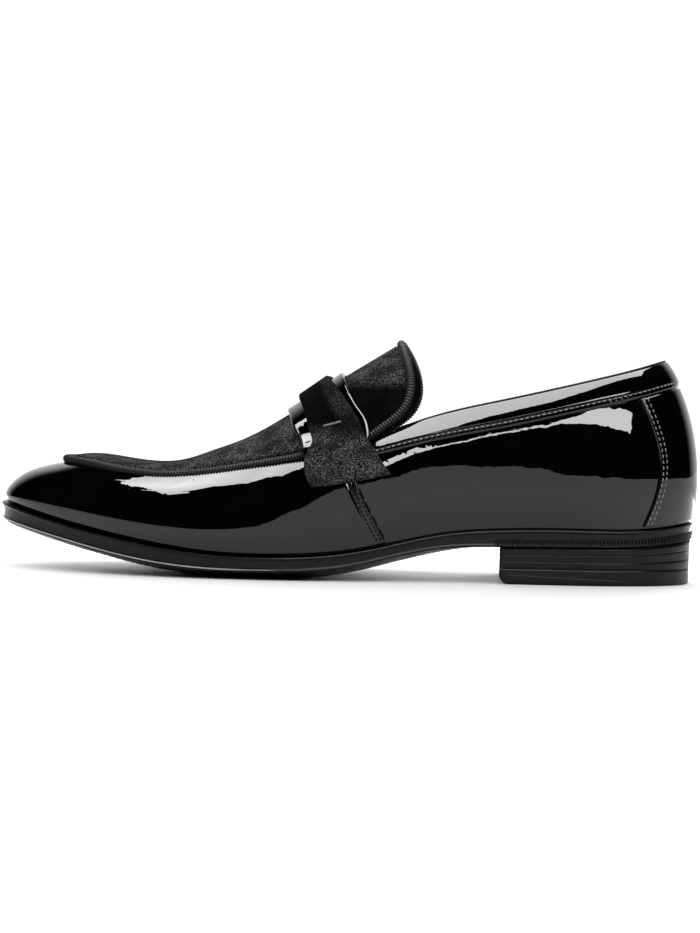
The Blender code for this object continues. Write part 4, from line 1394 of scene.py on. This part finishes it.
def make_heel_top_lift():
    bevel_turn = np.linspace(0, math.pi / 2, LIFT_BEVEL_LEVELS)
    shape = [(LIFT_BEVEL * (1 - math.cos(turn)), LIFT_BEVEL * (1 - math.sin(turn))) for turn in bevel_turn]
    shape += [(height, 0.0) for height in np.linspace(LIFT_BEVEL, HEEL_LIFT_HEIGHT, LIFT_LEVELS)[1:]]
    levels = []
    for height, bevel in shape:
        rise = max(0.0, 1 - height / BREAST_ROUND)
        breast = HEEL_BREAST - BREAST_ROUND * (1 - math.sqrt(1 - rise**2))

        def level_height(station, height=height):
            return np.full(len(station), height)

        levels.append(heel_level(HEEL_INSET_BOTTOM + bevel, breast, level_height))
    add_piece("heel_top_lift_rubber", heel_body(levels), RUBBER, ["heel_top_lift"])


def make_heel_plate():
    """A wear plate let into the top lift: its upper edge falls from the breast to its square end."""
    stations = np.linspace(HEEL_BREAST - PLATE_SETBACK, PLATE_END, PLATE_STEPS)
    share = (stations - stations[0]) / (stations[-1] - stations[0])
    top = PLATE_TOP[0] + (PLATE_TOP[1] - PLATE_TOP[0]) * share
    bodies = []
    for side in (-1, 1):
        plan = SOLE_LINE.inset(side * SOLE_LINE.turn_at(stations), HEEL_INSET_BOTTOM + PLATE_INSET)
        rows = []
        for up in edge_shares(PLATE_HEIGHT, PLATE_EDGE_RADIUS, PLATE_SPACING):
            rows.append(with_height(plan, PLATE_FOOT + (top - PLATE_FOOT) * up))
        bodies.append(crowned_body(np.array(rows), PLATE_LIFT, THIN_EDGE_SHARE * PLATE_LIFT, -side)[0])
    add_piece("heel_wear_plates", joined(bodies), RUBBER)


def make_knurl():
    """A milled band of small upright ticks round the sole's edge over the heel."""
    end = float(SOLE_LINE.turn_at(HEEL_BREAST + KNURL_OVERRUN))
    turns = np.linspace(-end, end, KNURL_STEPS)
    run = run_along(SOLE_LINE.at(turns))
    wave = np.clip(np.cos(2 * math.pi * run / KNURL_PERIOD) * KNURL_STEEPNESS, -1, 1) * 0.5 + 0.5
    outer, inner = [], []
    for rise, depth in KNURL_PROFILE:
        outer.append(sole_ring(turns, KNURL_INSET + depth * KNURL_DEPTH * wave, 0.0, rise))
        inner.append(sole_ring(turns, KNURL_INSET + KNURL_THICKNESS, 0.0, rise))
    band = closed_body(np.array(outer), np.array(inner))
    add_piece("heel_milled_band", band, RUBBER)


def make_insole():
    turns = outline_turns()
    inset = FEATHER_INSET(SOLE_LINE.station(turns)) + UPPER_WALL + INSOLE_CLEARANCE
    plan = SOLE_LINE.inset(turns, inset)
    ring = with_height(plan, EDGE_TOP(station_of(plan)) + GAP)
    lateral, medial = facing_lines(ring)
    shares = edge_shares(INSOLE_WIDTH, INSOLE_EDGE_RADIUS, INSOLE_SPACING)
    board = across_rows(lateral, medial, shares)
    top = board.copy()
    top[..., 2] += rounded(edge_distance(board), INSOLE_THICKNESS, INSOLE_EDGE_RADIUS)
    add_piece("insole_sock", closed_body(top, board), LINING, ["insole"])


# Stage, lights and camera


def stage_sheet(name, width, height, finish):
    """A flat rectangle of the set."""
    half = (width / 2 * MM, height / 2 * MM)
    corners = [(a * half[0], b * half[1], 0.0) for a, b in ((-1, -1), (1, -1), (1, 1), (-1, 1))]
    mesh = bpy.data.meshes.new(name)
    mesh.from_pydata(corners, [], [(0, 1, 2, 3)])
    mesh.materials.append(finish.material)
    item = add_object(name, mesh)
    return item


def make_floor():
    """A white floor that takes shadows near the shoe and glows far from it, to run into the backdrop."""
    finish = Finish("floor_white", grey(FLOOR_GREY), 0.9, Specular_IOR_Level=0.0, Emission_Color=WHITE)
    distance = finish.nodes.new("ShaderNodeVectorMath")
    distance.operation = "LENGTH"
    finish.links.new(finish.place, distance.inputs[0])
    near, far = (edge * MM for edge in FLOOR_GLOW_RANGE)
    glow = finish.ramp(distance.outputs["Value"], near, far, 0.0, FLOOR_GLOW)
    finish.links.new(glow, finish.shader.inputs["Emission Strength"])
    stage_sheet("floor", FLOOR_SIZE, FLOOR_SIZE, finish)


def make_world():
    """A white backdrop for the eye, and for mirrored light a dark room, bright low down behind the shoe."""
    world = bpy.data.worlds.new("studio")
    bpy.context.scene.world = world
    tree = NodeTree(world)
    nodes, links = tree.nodes, tree.links
    way = nodes.new("ShaderNodeSeparateXYZ")
    links.new(nodes.new("ShaderNodeTexCoord").outputs["Generated"], way.inputs[0])
    behind = tree.ramp(way.outputs["Y"], *BACK_GLOW_RANGE, ROOM_GLOW, BACK_GLOW)
    low = tree.ramp(way.outputs["Z"], *LOW_GLOW_RANGE, 1.0, ROOM_GLOW)
    room = nodes["Background"]
    room.inputs["Color"].default_value = WHITE
    links.new(tree.maths("MULTIPLY", behind, low), room.inputs["Strength"])
    backdrop = nodes.new("ShaderNodeBackground")
    backdrop.inputs["Color"].default_value = WHITE
    backdrop.inputs["Strength"].default_value = BACKDROP_GLOW
    mix = nodes.new("ShaderNodeMixShader")
    links.new(nodes.new("ShaderNodeLightPath").outputs["Is Camera Ray"], mix.inputs["Fac"])
    links.new(room.outputs["Background"], mix.inputs[1])
    links.new(backdrop.outputs["Background"], mix.inputs[2])
    links.new(mix.outputs["Shader"], nodes["World Output"].inputs["Surface"])
    bpy.context.scene.view_settings.view_transform = "Standard"


def set_up(place, facing, roll_deg):
    """The matrix of a light or camera at a place, turned to face a way and then rolled."""
    look = Vector(facing).to_track_quat("-Z", "Y").to_matrix().to_4x4()
    return Matrix.Translation(Vector(place) * MM) @ look @ Matrix.Rotation(math.radians(roll_deg), 4, "Z")


def softbox(name, place, facing, width, height, radiance):
    """A soft light that shines on dull surfaces and hides from the camera and from gloss."""
    data = bpy.data.lights.new(name, "AREA")
    data.shape = "RECTANGLE"
    data.size, data.size_y = width * MM, height * MM
    data.energy = radiance * math.pi * data.size * data.size_y
    light = add_object(name, data)
    light.matrix_world = set_up(place, facing, 0.0)
    light.visible_camera = light.visible_glossy = False


def card(name, place, facing, width, height, glow, roll_deg):
    """A glowing white card that shows only in the gloss of the shoe."""
    finish = Finish(f"{name}_white", grey(0.0), 1.0, Specular_IOR_Level=0.0, Emission_Color=WHITE)
    least, most = (1 - CARD_UNEVENNESS) * glow, (1 + CARD_UNEVENNESS) * glow
    strength = finish.ramp(finish.noise(CARD_PATCH), 0.3, 0.7, least, most)
    finish.links.new(strength, finish.shader.inputs["Emission Strength"])
    item = stage_sheet(name, width, height, finish)
    item.matrix_world = set_up(place, facing, roll_deg)
    item.visible_camera = item.visible_diffuse = item.visible_shadow = False


def make_lights():
    for row in SOFTBOXES:
        softbox(**dict(zip(SOFTBOX_COLUMNS, row)))
    for row in CARDS:
        card(**dict(zip(CARD_COLUMNS, row)))


def make_camera():
    data = bpy.data.cameras.new("camera")
    data.sensor_width = SENSOR
    data.lens = SENSOR * FOCAL_PIXELS / IMAGE_HEIGHT
    camera = add_object("camera", data)
    yaw = math.radians(CAMERA_YAW_DEG)
    aim = Vector(CAMERA_AIM)
    across, away = CAMERA_DISTANCE * math.sin(yaw), CAMERA_DISTANCE * math.cos(yaw)
    place = Vector((aim.x + across, -away, CAMERA_HEIGHT))
    camera.matrix_world = set_up(place, aim - place, CAMERA_ROLL_DEG)
    bpy.context.scene.camera = camera


make_camera()
make_world()
make_floor()
make_lights()
make_outsole()
make_lip_line()
make_heel_block()
make_heel_top_lift()
make_heel_plate()
make_knurl()
make_insole()
make_upper()
make_vamp()
make_collar_band()
make_collar_rim()
make_heel_counter()
make_plug()
make_piping()
make_saddle_band()
make_strap()
